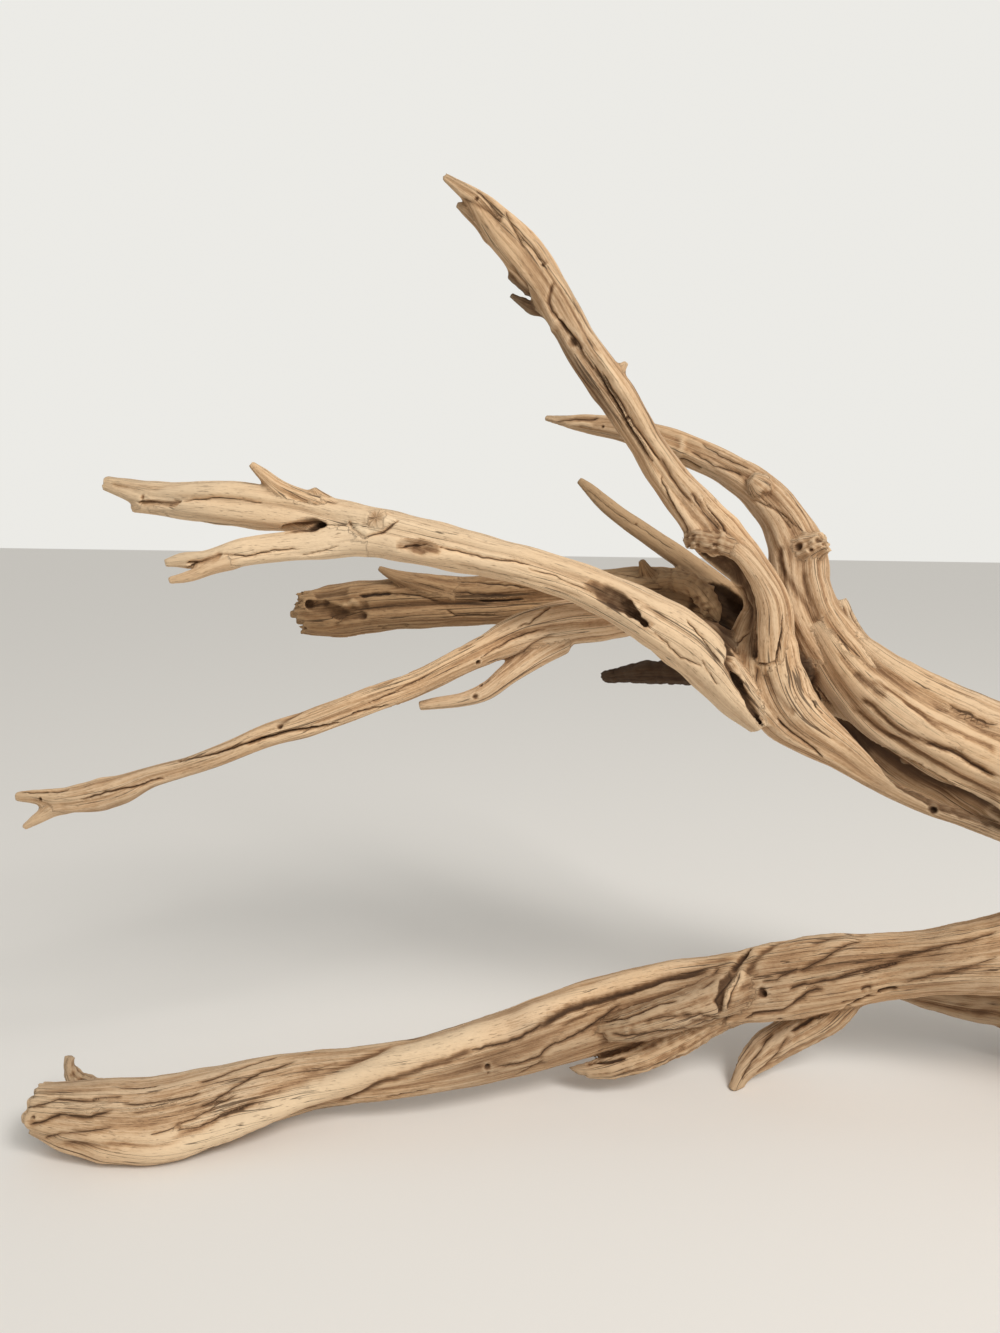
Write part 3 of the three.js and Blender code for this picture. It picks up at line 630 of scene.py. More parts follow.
# two short thorns and a bud; the thorns are darkened, partly as darker wood and partly as painted shade on
# the limb's shaded side
grow("upright_limb", [(-108, 6, 393, 1), (-102, 6, 389, 1.8), (-93, 8, 385, 4)], shade=0.7, crinkle=0.2)
grow("upright_limb", [(-107, 6, 385, 1), (-101, 6, 381, 2), (-91, 8, 376, 4)], shade=0.7, crinkle=0.2)
grow("upright_limb", [(-55, 8, 355, 1.2), (-59, 8, 350, 2.5), (-64, 9, 344, 4)])

# The rear limb, from its tip to the trunk
grow("rear_limb", [
    (-108, 104, 338, 1.5), (-97, 102, 336, 3), (-83, 99, 334, 5), (-61, 93, 330, 6.5), (-34, 86, 321, 7.5),
    (-10, 79, 310, 8), (6, 72, 299, 9), (18, 66, 285, 10.5), (25, 60, 270, 12.5), (28, 54, 253, 12.5),
    (34, 50, 237, 14), (45, 47, 221, 15), (62, 44, 203, 14),
], ridges=[
    (30, -40, -0.14, 14), (70, -30, 0.1, 24), (-30, -20, 0.1, 24), (190, -30, -0.12, 20),
], marks=[
    groove(1, 0.9, 0.6, (7, -20), (18, 30), (33, 40)), hole(1, 0.9, 0.7, (36, -5)),
    ridge(1, 0.9, -0.4, (14, -35), (22, -10), (29, -10)), crack(0.7, 1.3, 0.8, (82, -40), (96, -40)),
    ridge(1.8, 1.2, -0.3, (79, 35), (82, 0), (82, -35)),
    groove(0.9, 0.9, 0.5, (89, 45), (104, 30), (119, 35)),
    groove(0.9, 1, 0.6, (86, 0), (102, -10), (119, 5)), crack(0.6, 1, 0.6, (131, -30), (142, -5), (156, 5)),
    crack(0.6, 1, 0.6, (120, -5), (135, -10), (158, 20)),
    groove(1.6, 1.2, 0.3, (162, -30), (170, -45), (192, -5), (206, 5)),
    groove(1.8, 1.4, 0.3, (176, 5), (191, 10), (207, 10)),
], depth=0.95, shade=0.06)
# a torn knot and a knob
grow("rear_limb", [
    (37, 48, 275, 5), (31, 51, 272, 7), (24, 57, 268, 9),
], marks=[
    hole(2, 2.5, 1, (9, -25)), hole(1.5, 2, 0.9, (1, -25)), hole(1, 1.2, 0.9, (5, 5)),
], torn=(3, 0), crinkle=1.0)
grow("rear_limb", [(2, 62, 305, 3), (6, 64, 302, 6), (11, 68, 298, 8)], crinkle=0.6)

# The reaching limb, from its upper tine to the trunk. It and its lower tine are made paler, partly as paler
# wood and partly as painted light.
grow("reaching_limb", [
    (-271, -62, 302, 3.2), (-262, -62, 300, 4.2), (-251, -61, 297, 6), (-237, -60, 295, 7.5),
    (-219, -59, 294, 9), (-201, -57, 292, 9.5), (-181, -54, 289, 8.5), (-164, -51, 284, 10),
    (-145, -48, 280, 10.5), (-127, -44, 276, 9.5), (-110, -40, 272, 8.5), (-94, -35, 268, 8.5),
    (-74, -27, 261, 8.5), (-57, -20, 253, 10), (-40, -11, 243, 11.5), (-25, -2, 232.5, 12.5),
    (-13, 5, 220.5, 12), (-1, 9, 206, 9.5), (10, 12, 193, 6),
], ridges=[
    (45, -20, 0.1, 26), (2, 30, -0.16, 12), (-40, 20, 0.1, 24), (150, 30, -0.12, 18), (215, 10, 0.1, 26),
], marks=[
    crack(1.4, 3, 1, (19, -35), (38, -5)), crack(0.7, 1.2, 0.6, (38, -5), (55, 20), (73, 15)),
    groove(1.6, 1, 0.4, (4, 10), (13, 30), (41, 60)), hole(1.2, 1.2, 0.9, (20, -10)),
    crack(0.7, 1.3, 0.8, (74, 65), (82, 45), (93, 35)), groove(1.2, 0.8, 0.4, (93, 35), (103, 65)),
    crack(2, 3.5, 1, (82, -50), (99, -5)), crack(0.6, 1, 0.8, (99, -5), (112, 10)),
    groove(3, 1.2, 0.3, (84, -85), (99, -25)), hole(2.6, 1, 0.45, (121, 35)),
    ridge(2.2, 1.3, -0.4, (113, 10), (117, 0), (121, 10), (129, 40)),
    crack(0.9, 1.6, 0.9, (110, 20), (112, 0), (118, -10), (125, 5), (130, 40)),
    groove(3, 1.2, 0.25, (118, 20), (125, 30)), hole(1.6, 1.5, 1, (139, -10)),
    # a flat paler stripe along the limb: partly paler wood, partly painted light
    ridge(14, 0, -0.2, (4, 10), (38, 25), (68, 5), (98, 0), (131, 20), (198, 25)),
    groove(2.4, 3.5, 1, (282, 95), (287, 40), (318, 15)), crack(1, 1.8, 0.9, (134, -15), (143, 0)),
    groove(2, 1.2, 0.4, (132, -20), (139, -5), (151, 0)),
    crack(0.8, 1.4, 0.8, (149, 0), (163, 0), (186, 15)), crack(0.6, 1.1, 0.6, (185, 5), (215, 0)),
    groove(2.2, 1, 0.5, (235, 15), (245, -5)), crack(0.6, 1, 0.6, (247, -10), (266, -25), (276, -10)),
    crack(0.6, 1, 0.6, (274, 0), (291, -10)), crack(0.7, 1.3, 0.8, (258, 50), (266, 35), (283, 25)),
    groove(1.2, 0.7, 0.2, (154, -35), (215, -20)), groove(1.4, 0.8, 0.2, (216, 40), (235, 35), (251, 25)),
], depth=0.95, root=0, shade=-0.35)
# the lower tine and its second point
grow("reaching_limb", [
    (-232, -84, 270, 1.5), (-226, -81, 271, 3), (-216, -79, 271, 4), (-203, -74, 274, 6),
    (-188, -67, 276, 6), (-174, -61, 277, 6.5), (-157, -53, 279, 7), (-138, -46, 279, 5),
], marks=[
    crack(1.4, 3, 1, (10, -20), (24, 10)), crack(0.7, 1.3, 0.9, (24, 10), (33, -20), (55, -10)),
    crack(1, 2, 0.9, (9, -80), (14, -30)), crack(0.6, 0.9, 0.5, (55, -35), (71, -20)),
], shade=-0.6)
grow("reaching_limb", [
    (-230, -85, 263, 1.3), (-221, -83, 265, 2.2), (-212, -80, 269, 3), (-200, -74, 273, 4),
])
# the thorn on top, and the second point of the upper tine
grow("reaching_limb", [
    (-202, -64, 310, 1.3), (-198, -62, 306, 2.5), (-191, -60, 300, 3.5), (-181, -57, 295, 4),
    (-169, -54, 290, 5),
])
grow("reaching_limb", [
    (-258, -64, 291, 1.2), (-250, -63, 292, 2.6), (-237, -61, 292, 4), (-222, -59, 291, 5),
])
# a knob and a bud
grow("reaching_limb", [(-150, -58, 288, 3), (-150, -56, 287, 4.5), (-149, -50, 285, 6)])
grow("reaching_limb", [(-178, -56, 300, 1), (-175, -55, 295, 3), (-170, -53, 289, 5)])
# the web in the fork, darkened with painted shade as a dark crevice
grow("reaching_limb", [
    (-34, 6, 243, 4), (-22, 12, 236, 7), (-11, 15, 229, 9), (-4, 16, 218, 8), (4, 16, 206, 5),
], marks=[
    groove(3.5, 2, 1, (26, 100), (27, 55), (31, 30), (36, 20)),
], shade=0.8)

# The blunt limb, from its hollow end to the trunk
grow("blunt_limb", [
    (-213, 8, 239, 11), (-199, 10, 240, 12.5), (-182, 13, 242, 12.5), (-162, 16, 244, 12.5),
    (-140, 20, 245, 12), (-116, 25, 246, 12), (-92, 30, 248, 12), (-68, 34, 249, 11.5), (-44, 38, 250, 11),
    (-25, 41, 248, 11), (-9, 42, 243, 11), (8, 42, 234, 11), (24, 44, 226, 11),
], ridges=[
    (35, 10, 0.1, 20), (5, -10, -0.18, 13), (-35, 10, 0.08, 20), (170, 20, -0.14, 18),
], marks=[
    groove(4, 1.4, 0.3, (9, 40), (14, 50), (27, 45)), groove(2.5, 1.2, 0.25, (24, 15), (30, 10), (36, 10)),
    ridge(1.3, 2.2, -0.9, (13, 25), (19, 5), (28, 20), (31, 10)), crack(1.2, 2.4, 1, (32, 30), (47, 30)),
    crack(0.6, 1.2, 0.8, (47, 30), (60, 20), (70, 5)), crack(0.7, 1.2, 0.8, (66, 50), (89, 50), (113, 25)),
    crack(0.6, 1.1, 0.7, (53, 70), (59, 35), (79, 15)), crack(0.9, 1.8, 1, (89, 5), (110, 0)),
    groove(0.9, 1, 0.6, (60, 30), (106, 15)), crack(0.6, 1.1, 0.7, (73, -15), (77, -30), (96, -25)),
    crack(0.9, 1.8, 1, (38, -55), (44, -50), (54, -50)), groove(1.3, 0.9, 0.4, (17, -30), (33, -5)),
    crack(0.7, 1.4, 0.8, (146, 85), (166, 45), (175, 40), (190, 15)),
    groove(1.2, 1.2, 0.6, (166, 15), (185, 15)), crack(1.1, 2.5, 1, (202, 10), (207, 15), (212, 35)),
    # the flat dark patch at the end by the fork is painted shadow
    hole(2.6, 3, 1, (203, -20)), groove(5, 0, 1, (205, -15), (214, -35), (218, -75)),
    ridge(16, 0, -0.7, (142, 15), (180, 40), (198, 70)),
], depth=0.85, torn=(7, 0))
# two thorns on top
grow("blunt_limb", [(-172, 6, 262, 1.2), (-164, 8, 258, 3), (-150, 12, 254, 5), (-130, 18, 249, 6)])
grow("blunt_limb", [(-48, 30, 266, 1.5), (-46, 32, 261, 3), (-42, 36, 253, 6)])
# the thin twig
grow("blunt_limb", [
    (-82, 55, 304, 1.8), (-76, 54, 299, 3), (-67, 52, 291, 4), (-54, 49, 282, 4.5), (-40, 46, 273, 4.5),
    (-25, 43, 263, 5), (-11, 42, 252, 6), (2, 42, 240, 7),
], marks=[
    hole(1, 0.8, 0.8, (38, 25)), groove(0.9, 0.7, 0.5, (5, -15), (19, 5), (64, 25)),
], shade=-0.7)
# the knot in the fork
grow("blunt_limb", [
    (-42, 38, 256, 4), (-32, 31, 257, 4.5), (-23, 25, 255, 5), (-16, 22, 248, 5), (-10, 20, 239, 4),
], shade=-0.3, crinkle=1.4)

# The trailing limb, from its tip to the trunk
grow("trailing_limb", [
    (-308, -88, 167, 2), (-298, -87, 167, 3.2), (-289, -86, 166, 5), (-279, -85, 167, 6),
    (-269, -83, 169, 6.7), (-259, -81, 172, 6), (-248, -78, 177, 4.5), (-234, -74, 181, 4),
    (-217, -69, 187, 4.5), (-201, -64, 194, 5), (-184, -58, 199, 5.7), (-168, -52, 205, 6),
    (-152, -45, 211, 6), (-138, -39, 216, 5.7), (-124, -32, 223, 6), (-110, -24, 230, 7),
    (-96, -15, 236, 9.5), (-80, -4, 239, 10.5), (-64, 8, 240, 10), (-50, 20, 241, 9), (-34, 32, 243, 8),
], ridges=[
    (30, 20, 0.12, 26), (-5, 10, -0.14, 16), (190, 30, -0.12, 22),
], marks=[
    crack(0.7, 1.5, 1, (3, 80), (9, 60), (17, 70), (27, 55)), hole(1, 1.2, 1, (13, 10)),
    crack(0.7, 1.3, 0.9, (33, 10), (50, 10), (60, -20), (69, -30)),
    crack(0.9, 2.2, 1, (77, 55), (105, 15), (111, -5), (126, -10), (147, -45)),
    crack(1.3, 2.5, 1, (108, 5), (116, -10)), groove(1.6, 0.9, 0.5, (134, 90), (121, 30)),
    hole(1.3, 0.9, 0.8, (123, 30)),
    ledge(1.6, 1.4, 0.6, (164, 55), (171, 45), (178, 60), (185, 90), (192, 90)),
    crack(0.5, 1, 0.6, (190, 25), (162, -10)), hole(1.3, 0.9, 0.8, (172, -85)),
    crack(0.6, 1.1, 0.8, (153, -25), (170, -45)),
    crack(0.9, 2, 1, (230, 95), (225, 95), (212, 50), (207, 50)),
    ledge(1.8, 1.5, 0.4, (207, 50), (212, 50), (225, 95), (230, 95)),
    crack(0.6, 1.1, 0.7, (245, 0), (228, -5), (213, -20)),
    crack(0.6, 1.1, 0.8, (250, 55), (239, 25), (234, 25)),
    groove(1.3, 0.8, 0.3, (251, -15), (238, -40), (227, -85), (218, -85)), hole(1.2, 1.5, 1, (212, -30)),
])
# the second prong of the tip
grow("trailing_limb", [
    (-304, -90, 154, 1.3), (-298, -89, 158, 2.3), (-290, -87, 163, 3.5), (-280, -85, 167, 4),
])
# the side twig
grow("trailing_limb", [
    (-140, -34, 204, 2), (-134, -33, 205, 2.5), (-121, -30, 207, 3), (-112, -26, 210, 4),
    (-102, -21, 218, 4.7), (-90, -13, 227, 6), (-76, -2, 235, 7),
], marks=[
    hole(1.2, 0.8, 0.9, (30, 60)), hole(1.5, 0.9, 0.9, (25, 10)),
])

# The hollows, darkened inside with painted shade
# under the strand
hollow_out(0.7, (41, 22, 195, 2.5), (51, 21, 187, 5), (62, 21, 179, 6.5), (74, 21, 171, 7),
           (92, 22, 161, 6.5), (110, 24, 153, 5.5), (128, 28, 146, 4))
# the crevice at the knee, and the pit beside it
hollow_out(0.8, (12, 37, 68, 1.2), (6, 29, 66, 1.3), (1, 22, 63, 1.6), (-2, 15, 60, 1.8),
           (-3, 10, 56, 1.6), (-3, 8, 50, 1.2))
hollow_out(0.6, (15, 17, 56, 1.5), (19, 23, 54, 1.5))
# the recess of the low stub
hollow_out(0.8, (-60, 0, 25, 1), (-50, 1, 28, 2.2), (-36, 4, 32, 2.5), (-20, 8, 36, 1.5))
# the eye of the reaching limb
hollow_out(0.8, (-64, -34, 260, 2), (-56, -31, 255, 4), (-48, -24, 248, 3), (-42, -22, 242, 1.5))
# the crotch of its tines
hollow_out(1.0, (-190, -72, 285, 1.5), (-180, -66, 285, 2.5), (-172, -58, 284, 2.5), (-166, -50, 284, 1.5))
# the hole between them
hollow_out(0.4, (-139, -60, 277, 2), (-133, -56, 276, 3), (-126, -54, 275, 1.5))
# the end of the blunt limb
hollow_out(0.25, (-207, 2, 244, 2), (-199, 0, 243, 3.5), (-190, 1, 240, 3.5), (-180, 3, 239, 2))
# the cavity behind the fork
hollow_out(0.9, (-22, 29, 246, 4), (-12, 31, 250, 7), (-3, 33, 243, 6))
# the crevice of the fork
hollow_out(1.0, (-9, 9, 243, 2.5), (-7, 8, 232, 2.6), (-5, 4, 223, 2.2), (-1, 3, 213, 1.8),
           (4, 4, 202, 1.4), (10, 7, 194, 1.2))
# the recess under the collar
hollow_out(0.85, (-17, 10, 272, 3), (-7, 9, 264, 5.5), (-1, 8, 255, 5.5), (3, 7, 246, 4), (5, 6, 236, 2.5),
           (6, 7, 226, 1.5))
# the hole through the edge of the strand
hollow_out(1.0, (88, 16, 155, 1.5), (89, 21, 154, 2), (90, 25, 153, 1.2))


def in_parts(work, count, size):
    """Results of work on slices of a range, done side by side and kept in order."""
    parts = [slice(start, min(start + size, count)) for start in range(0, count, size)]
    with ThreadPoolExecutor(THREADS) as pool:
        return list(pool.map(work, parts))


def hollow_field(limb, points, index):
    """Distance to the inner side of a hollow: negative where wood is taken out."""
    along, x, y = limb.place(points, index)
    size = np.interp(along, limb.run, limb.size)
    over = np.maximum(np.maximum(-along, along - limb.length), 0)
    rough = noise(points[:, 0] / 3, points[:, 1] / 3, points[:, 2] / 3)
    return np.hypot(np.hypot(x, y), over) - size + np.minimum(HOLLOW_ROUGHNESS, 0.35 * size) * rough


def band(limb):
    """How far from its plain surface a limb's real surface can be."""
    return BAND + BAND_SHARE * limb.size.max()


def grown_field(node, middles, spread):
    """The node's field at the points round each middle, given as offsets in spread."""
    count = len(spread)
    points = (middles[:, None, :] + spread).reshape(-1, 3)
    own = np.full(len(points), FAR, np.float32)
    others = np.full(len(points), FAR, np.float32)

    def fine(about, index):
        spots = (about[:, None] * count + np.arange(count)).ravel()
        return spots, np.repeat(index, count)

    for name, group in limbs.items():
        target = own if name == node else others
        for limb in group:
            about, index, _ = limb.close(middles, band(limb))
            if len(about):
                spots, samples = fine(about, index)
                value = limb.field(points[spots], samples)
                target[spots] = soft_min(target[spots], value, BLEND if name == node else 1.0)
    # inside its neighbour's wood a piece lies deeper than the shared surface, and ends soon
    past = own - others
    value = soft_min(own, others, BLEND) + 0.6 * np.maximum(past, 0)
    value = np.maximum(value, past - DIVE)
    value = np.where(others >= FAR, own, value)
    for limb in hollows:
        about, index, _ = limb.close(middles, HOLLOW_REACH)
        if len(about):
            spots, samples = fine(about, index)
            carved = hollow_field(limb, points[spots], samples)
            value[spots] = -soft_min(-value[spots], carved, HOLLOW_BLEND)
    return np.maximum(value, -points[:, 2])


# Meshing: one point in each cell that the surface crosses, joined into quads

CORNERS = [(i, j, k) for i in (0, 1) for j in (0, 1) for k in (0, 1)]
EDGES = [(a, b) for a in range(8) for b in range(a + 1, 8)
         if sum(abs(p - q) for p, q in zip(CORNERS[a], CORNERS[b])) == 1]


def net(values, origin, h):
    """Points and quads of the surface where a block of values changes sign."""
    inside = values < 0
    nx, ny, nz = (n - 1 for n in values.shape)
    count = np.zeros((nx, ny, nz), np.uint8)
    for i, j, k in CORNERS:
        count += inside[i:nx + i, j:ny + j, k:nz + k]
    cells = np.nonzero((count > 0) & (count < 8))
    corner = [values[cells[0] + i, cells[1] + j, cells[2] + k] for i, j, k in CORNERS]
    total = np.zeros((len(cells[0]), 3), np.float32)
    crossings = np.zeros(len(cells[0]), np.float32)
    for a, b in EDGES:
        va, vb = corner[a], corner[b]
        cross = (va < 0) != (vb < 0)
        t = np.where(cross, va / np.where(va == vb, 1, va - vb), 0)
        start = np.array(CORNERS[a], np.float32)
        run = np.array(CORNERS[b], np.float32) - start
        total += np.where(cross[:, None], start + t[:, None] * run, 0)
        crossings += cross
    points = origin + h * (np.stack(cells, 1) + total / crossings[:, None])
    number = np.full((nx, ny, nz), -1, np.int32)
    number[cells] = np.arange(len(points))
    quads = []
    for axis in range(3):
        first = [slice(1, -1)] * 3
        second = [slice(1, -1)] * 3
        first[axis] = slice(0, -1)
        second[axis] = slice(1, None)
        here, there = inside[tuple(first)], inside[tuple(second)]
        p, q = [other for other in range(3) if other != axis]
        for leaving in (True, False):
            spots = np.nonzero((here == leaving) & (there != leaving))
            cell = [spots[k] + (0 if k == axis else 1) for k in range(3)]
            ring = []
            for dp, dq in ((1, 1), (0, 1), (0, 0), (1, 0)):
                place = list(cell)
                place[p] = cell[p] - dp
                place[q] = cell[q] - dq
                ring.append(number[tuple(place)])
            quad = np.stack(ring, 1)
            flip = leaving ^ (axis == 1)
            quads.append(quad if flip else quad[:, ::-1])
    return points, np.vstack(quads)


def carve(node):
    """Points and quads of one node's wood."""
    h = VOXEL * FINENESS[node]
    cell = COARSE * h
    own = limbs[node]
    low = np.min([limb.low - ROOM * limb.size.max() for limb in own], 0) - 3 * h
    high = np.max([limb.high + ROOM * limb.size.max() for limb in own], 0) + 3 * h
    low[2] = max(low[2], -3 * h)
    low = np.floor(low / cell) * cell
    shape = np.ceil((high - low) / cell).astype(int) + 1
    grid = np.stack(np.meshgrid(*[np.arange(n) for n in shape], indexing="ij"), -1)
    grid = grid.reshape(-1, 3)
    middles = (low + (grid + 0.5) * cell).astype(np.float32)
    inner = np.zeros(len(grid), bool)
    chosen = np.zeros(len(grid), bool)
    nearby = np.zeros(len(grid), bool)
    for name, group in [*limbs.items(), ("hollow", hollows)]:
        for limb in group:
            about, index, gap = limb.close(middles, band(limb))
            if name == node:
                chosen[about[np.abs(gap) < CORE + BAND_SHARE * limb.size[index]]] = True
                inner[about[gap < 0]] = True
            else:
                nearby[about] = True
    chosen |= inner & (nearby | (middles[:, 2] < cell))
    block = np.where(inner, -FAR, FAR).astype(np.float32).reshape(shape)
    for axis in range(3):
        block = np.repeat(block, COARSE, axis)
    cells = grid[chosen]
    middles = middles[chosen]
    steps = np.stack(np.meshgrid(*[np.arange(COARSE)] * 3, indexing="ij"), -1).reshape(-1, 3)
    spread = ((steps - COARSE / 2) * h).astype(np.float32)
    parts = in_parts(lambda part: grown_field(node, middles[part], spread), len(cells),
                     CELLS_AT_ONCE)
    spots = (cells[:, None, :] * COARSE + steps).reshape(-1, 3)
    block[spots[:, 0], spots[:, 1], spots[:, 2]] = np.concatenate(parts)
    return net(block, low, h)


def looks(points):
    """How dark each point of a surface is, where it is in the grain, and its split."""
    total = np.zeros((len(points), 2), np.float32)
    grain = np.zeros((len(points), 5), np.float32)
    best = np.full(len(points), FAR, np.float32)
    for group in limbs.values():
        for limb in group:
            about, index, _ = limb.close(points, band(limb))
            if len(about) == 0:
                continue
            value, deep, place = limb.field(points[about], index, look=True)
            share = np.exp(-np.clip(value, -2, 8) / TONE_BLEND)
            total[about] += np.stack([share * deep, share], 1)
            value = value + GRAIN_RAG * noise(*(points[about] / 1.7 + len(limb.run)).T)
            closer = value < best[about]
            best[about[closer]] = value[closer]
            grain[about[closer]] = place[closer]
    # the hollows' darkness is painted shade in hollows, crevices and recesses
    hollow = np.zeros(len(points), np.float32)
    for limb in hollows:
        about, index, _ = limb.close(points, HOLLOW_REACH)
        if len(about) == 0:
            continue
        inner = -hollow_field(limb, points[about], index)
        hollow[about] = np.maximum(hollow[about], limb.shade * step(inner, -1.2, 0.4))
    dark = total[:, 0] / np.maximum(total[:, 1], 1e-9)
    dark = np.where(hollow > 0, np.maximum(dark, hollow), dark)
    return np.hstack([dark[:, None], grain])


def valleys(points, quads):
    """How far each point lies below the wood round it, in mm; crests come out below 0."""
    count = len(points)
    ends = np.vstack([quads[:, [a, (a + 1) % 4]] for a in range(4)])
    start, stop = np.hstack([ends.T, ends.T[::-1]])
    degree = np.bincount(start, minlength=count)
    across = np.cross(points[quads[:, 2]] - points[quads[:, 0]],
                      points[quads[:, 3]] - points[quads[:, 1]])
    normal = np.stack([np.bincount(quads.ravel(), np.repeat(across[:, k], 4), count)
                       for k in range(3)], 1)
    normal /= np.maximum(np.linalg.norm(normal, axis=1, keepdims=True), 1e-9)
    smooth = points
    for _ in range(VALLEY_ROUNDS):
        smooth = np.stack([np.bincount(start, smooth[stop, k], count) / degree
                           for k in range(3)], 1)
    return ((smooth - points) * normal).sum(1).astype(np.float32)


def add_piece(node, material):
    """Mesh one node and put it in its place in the frame."""
    points, quads = carve(node)
    used, order = np.unique(quads, return_inverse=True)
    points = points[used].astype(np.float32)
    quads = order.reshape(quads.shape)
    mesh = bpy.data.meshes.new(node + "_wood")
    mesh.from_pydata(points * METRE, [], quads, shade_flat=False)
    look = np.vstack(in_parts(lambda part: looks(points[part]), len(points), POINTS_AT_ONCE))
    for name, values in (("dark", look[:, 0]), ("split", look[:, 4]), ("open", look[:, 5]),
                         ("valley", valleys(points, quads))):
        attribute = mesh.attributes.new(name, "FLOAT", "POINT")
        attribute.data.foreach_set("value", values.copy())
    place = mesh.attributes.new("grain", "FLOAT_VECTOR", "POINT")
    place.data.foreach_set("vector", look[:, 1:4].ravel())
    mesh.update()
    mesh.validate()
    mesh.materials.append(material)
    piece = bpy.data.objects.new(node + "_wood", mesh)
    bpy.context.scene.collection.objects.link(piece)
    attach(piece, "root")
    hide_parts(node)


class Nodes:
    """Short names for building a material's node tree."""

    def __init__(self, name):
        self.material = bpy.data.materials.new(name)
        self.material.use_nodes = True
        self.tree = self.material.node_tree
        self.tree.nodes.clear()

    def add(self, kind, inputs=(), **settings):
        node = self.tree.nodes.new(kind)
        for key, value in settings.items():
            setattr(node, key, value)
        for key, value in dict(inputs).items():
            if isinstance(value, bpy.types.NodeSocket):
                self.tree.links.new(value, node.inputs[key])
            else:
                node.inputs[key].default_value = value
        return node

    def attribute(self, name, output):
        return self.add("ShaderNodeAttribute", attribute_name=name).outputs[output]

    def scaled(self, vector, scale):
        return self.add("ShaderNodeVectorMath", {0: vector, 1: scale}, operation="MULTIPLY").outputs[0]

    def noise(self, vector, scale, detail, rough):
        node = self.add("ShaderNodeTexNoise", {"Vector": vector, "Scale": scale, "Detail": detail,
                                               "Roughness": rough})
        return node.outputs["Fac"]

    def ramp(self, value, stops):
        node = self.add("ShaderNodeValToRGB", {"Fac": value})
        while len(node.color_ramp.elements) < len(stops):
            node.color_ramp.elements.new(0.5)
        for element, (position, colour) in zip(node.color_ramp.elements, stops):
            element.position = position
            element.color = (*colour, 1)
        return node.outputs["Color"]

    def remap(self, value, low, high, to_low=0.0, to_high=1.0):
        node = self.add("ShaderNodeMapRange", {"Value": value, "From Min": low, "From Max": high,
                                               "To Min": to_low, "To Max": to_high})
        return node.outputs["Result"]

    def math(self, operation, a, b=0.0, c=0.0):
        return self.add("ShaderNodeMath", {0: a, 1: b, 2: c}, operation=operation).outputs[0]

    def weighted(self, *terms):
        total = 0.0
        for value, weight in terms:
            total = self.math("MULTIPLY_ADD", value, weight, total)
        return total

    def mix(self, share, a, b, blend="MIX"):
        node = self.add("ShaderNodeMix", data_type="RGBA", blend_type=blend)
        for key, value in ((0, share), (6, a), (7, b)):
            if isinstance(value, bpy.types.NodeSocket):
                self.tree.links.new(value, node.inputs[key])
            else:
                node.inputs[key].default_value = value if key == 0 else (*value, 1)
        return node.outputs[2]


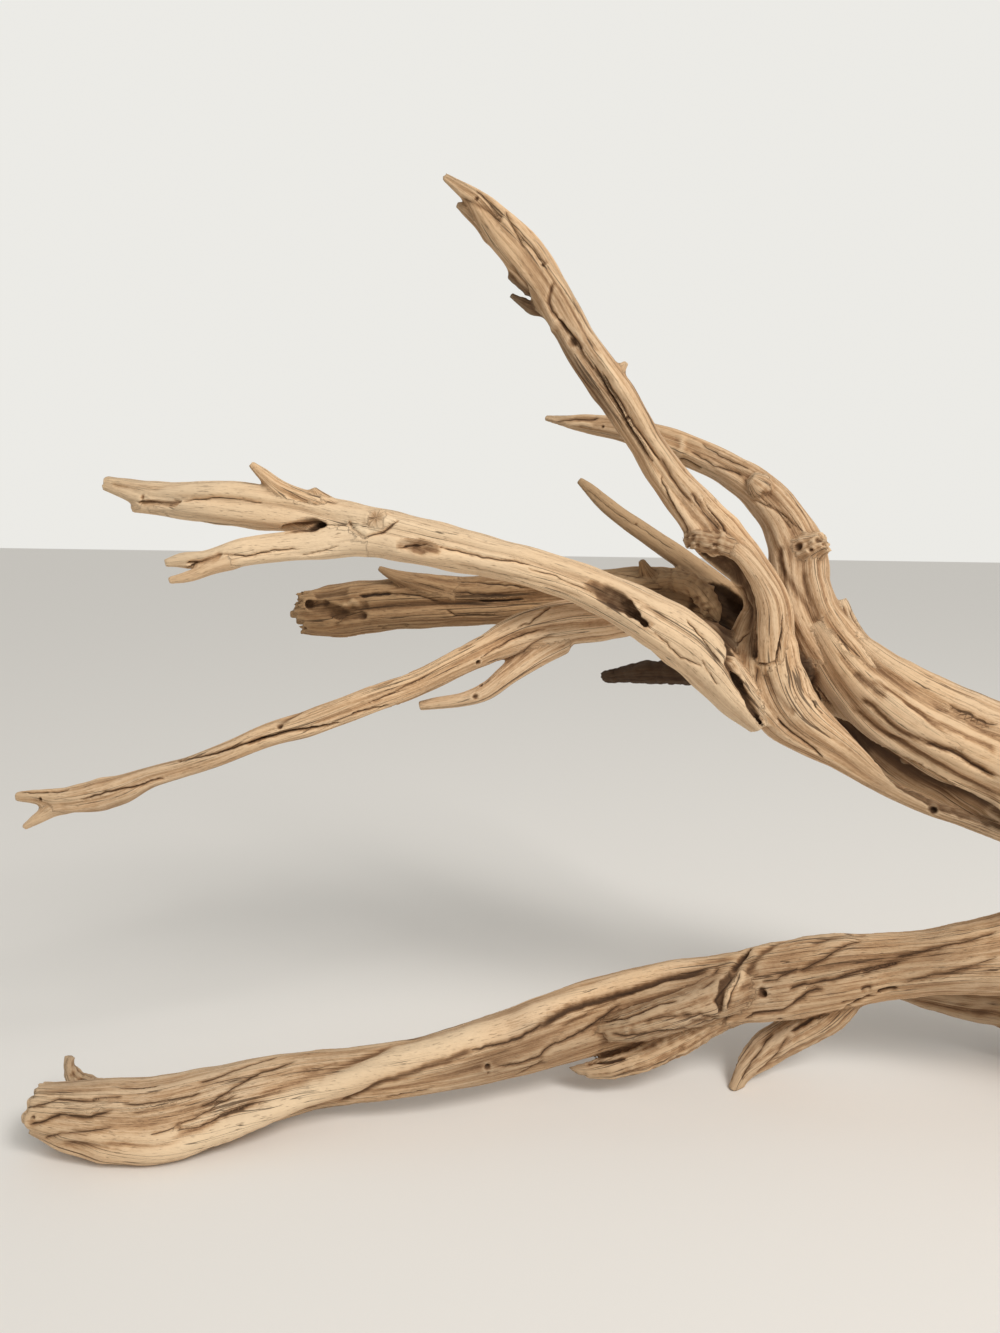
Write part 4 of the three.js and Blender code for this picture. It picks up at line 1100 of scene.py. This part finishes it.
def wood_material(name, bleached_and_painted_light, pale, middle, deep, shade):
    """Bleached bare wood: streaks and cracks along the grain, valleys darkened with painted shade, crests
    lightened with painted light.
    """
    n = Nodes(name)
    grain = n.attribute("grain", "Vector")
    dark = n.attribute("dark", "Fac")
    valley = n.attribute("valley", "Fac")
    place = n.add("ShaderNodeTexCoord").outputs["Object"]
    patch = n.noise(place, 18.0, 3.0, 0.5)

    def grained(along, across, detail, rough):
        return n.noise(n.scaled(grain, (along, across, across)), 1.0, detail, rough)

    streak = grained(0.02, 0.6, 4.0, 0.6)
    thread = grained(0.06, 2.6, 3.0, 0.6)
    fuzz = grained(0.5, 3.6, 2.0, 0.7)
    pore = n.remap(grained(0.22, 2.2, 2.0, 0.6), 0.62, 0.74)
    # cracks open where a slow noise crosses its middle, in some stretches of the wood only
    middle_line = n.math("ABSOLUTE", n.math("SUBTRACT", grained(0.007, 0.36, 2.0, 0.5), 0.5))
    stretch = n.remap(grained(0.013, 0.10, 2.0, 0.5), 0.42, 0.60, 0.0, 0.010)
    width = n.math("MULTIPLY", stretch, n.remap(dark, -1.0, 0.0))
    crack = n.remap(n.math("SUBTRACT", middle_line, width), 0.0, 0.005, 1.0, 0.0)
    crack = n.math("MULTIPLY", crack, n.remap(width, 0.0, 0.003))
    # splits with a known place
    away = n.math("ABSOLUTE", n.attribute("split", "Fac"))
    wide = n.attribute("open", "Fac")
    split = n.remap(n.math("SUBTRACT", away, wide), -0.10, 0.06, 1.0, 0.0)
    crack = n.math("MAXIMUM", crack, n.math("MULTIPLY", split, n.remap(wide, 0.03, 0.15)))
    # the valley term darkens valleys with painted shade and lightens crests with painted light
    tone = n.weighted((streak, 0.5), (thread, 0.3), (fuzz, 0.2), (valley, -VALLEY_PAINTED_SHADE), (dark, -0.12))
    colour = n.ramp(tone, [(0.33, deep), (0.46, middle), (0.59, pale)])
    tint = n.ramp(patch, [(0.35, (1.0, 0.95, 0.88)), (0.65, (0.92, 0.92, 0.92))])
    colour = n.mix(1.0, colour, tint, "MULTIPLY")
    # darkness below 0 turns the colour towards the bleached one: paler wood, and on the reaching limb
    # partly painted light
    colour = n.mix(n.remap(dark, -1.0, 0.0, 0.75, 0.0), colour, bleached_and_painted_light)
    # dark holds the wood's own darkness and painted shade in hollows, crevices and less lit parts; towards
    # 1 it goes to the near-black shade colour
    dark_wood_and_painted_shade = n.remap(dark, 0.0, 1.0)
    for share, spots, under in ((0.6, pore, deep), (0.75, crack, shade), (0.92, dark_wood_and_painted_shade, shade)):
        colour = n.mix(n.math("MULTIPLY", spots, share), colour, under)
    height = n.weighted((streak, 0.3), (thread, 0.4), (fuzz, 0.4), (crack, -0.4), (pore, -0.4))
    bump = n.add("ShaderNodeBump", {"Height": height, "Strength": 0.8, "Distance": BUMP_HEIGHT})
    rough = n.remap(thread, 0.3, 0.7, 0.68, 0.9)
    shader = n.add("ShaderNodeBsdfPrincipled", {"Base Color": colour, "Roughness": rough,
                                                "Normal": bump.outputs["Normal"]})
    shader.inputs["Specular IOR Level"].default_value = 0.25
    n.add("ShaderNodeOutputMaterial", {"Surface": shader.outputs["BSDF"]})
    return n.material


def plain_material(name, colour, roughness):
    n = Nodes(name)
    shader = n.add("ShaderNodeBsdfPrincipled", {"Base Color": (*colour, 1), "Roughness": roughness})
    n.add("ShaderNodeOutputMaterial", {"Surface": shader.outputs["BSDF"]})
    return n.material


def add_camera():
    data = bpy.data.cameras.new("camera")
    data.sensor_width = SENSOR_SIDE
    data.lens = SENSOR_SIDE * FOCAL_PIXELS / IMAGE_HEIGHT
    data.clip_start = NEAR_CLIP
    camera = bpy.data.objects.new("camera", data)
    camera.location = CAMERA_PLACE
    camera.rotation_euler = (math.radians(90 - CAMERA_DOWN), 0, math.radians(CAMERA_LEFT))
    bpy.context.scene.collection.objects.link(camera)
    bpy.context.scene.camera = camera


def add_light(name, kind, power):
    data = bpy.data.lights.new(name, kind)
    data.energy = power
    data.color = LIGHT_COLOUR
    light = bpy.data.objects.new(name, data)
    light.location = LIGHT_PLACE
    aim = Vector(LIGHT_AIM) - Vector(LIGHT_PLACE)
    light.rotation_euler = aim.to_track_quat("-Z", "Y").to_euler()
    bpy.context.scene.collection.objects.link(light)
    return data


def add_stage():
    mesh = bpy.data.meshes.new("floor")
    corners = [(x * FLOOR_SIDE, y * FLOOR_SIDE, 0) for x, y in ((-1, -1), (1, -1), (1, 1), (-1, 1))]
    mesh.from_pydata(corners, [], [(0, 1, 2, 3)])
    mesh.materials.append(plain_material("floor", FLOOR_COLOUR, FLOOR_ROUGHNESS))
    floor = bpy.data.objects.new("floor", mesh)
    bpy.context.scene.collection.objects.link(floor)
    world = bpy.data.worlds.new("studio")
    world.use_nodes = True
    background = world.node_tree.nodes["Background"]
    background.inputs["Color"].default_value = (*SKY_COLOUR, 1)
    # the backdrop is brighter than the light that it gives
    seen = world.node_tree.nodes.new("ShaderNodeLightPath").outputs["Is Camera Ray"]
    strength = world.node_tree.nodes.new("ShaderNodeMapRange")
    strength.inputs["To Min"].default_value = SKY_STRENGTH
    strength.inputs["To Max"].default_value = BACKDROP_STRENGTH
    world.node_tree.links.new(seen, strength.inputs["Value"])
    world.node_tree.links.new(strength.outputs["Result"], background.inputs["Strength"])
    bpy.context.scene.world = world
    bpy.context.scene.view_settings.view_transform = "Standard"
    add_light("key", "AREA", KEY_WATTS).size = KEY_SIZE
    add_light("window", "SUN", SUN_STRENGTH).angle = SUN_ANGLE


add_camera()
add_stage()
materials = {name: wood_material(name, **colours) for name, colours in WOODS.items()}
for node in limbs:
    add_piece(node, materials[SLOTS.get(node, "driftwood")])
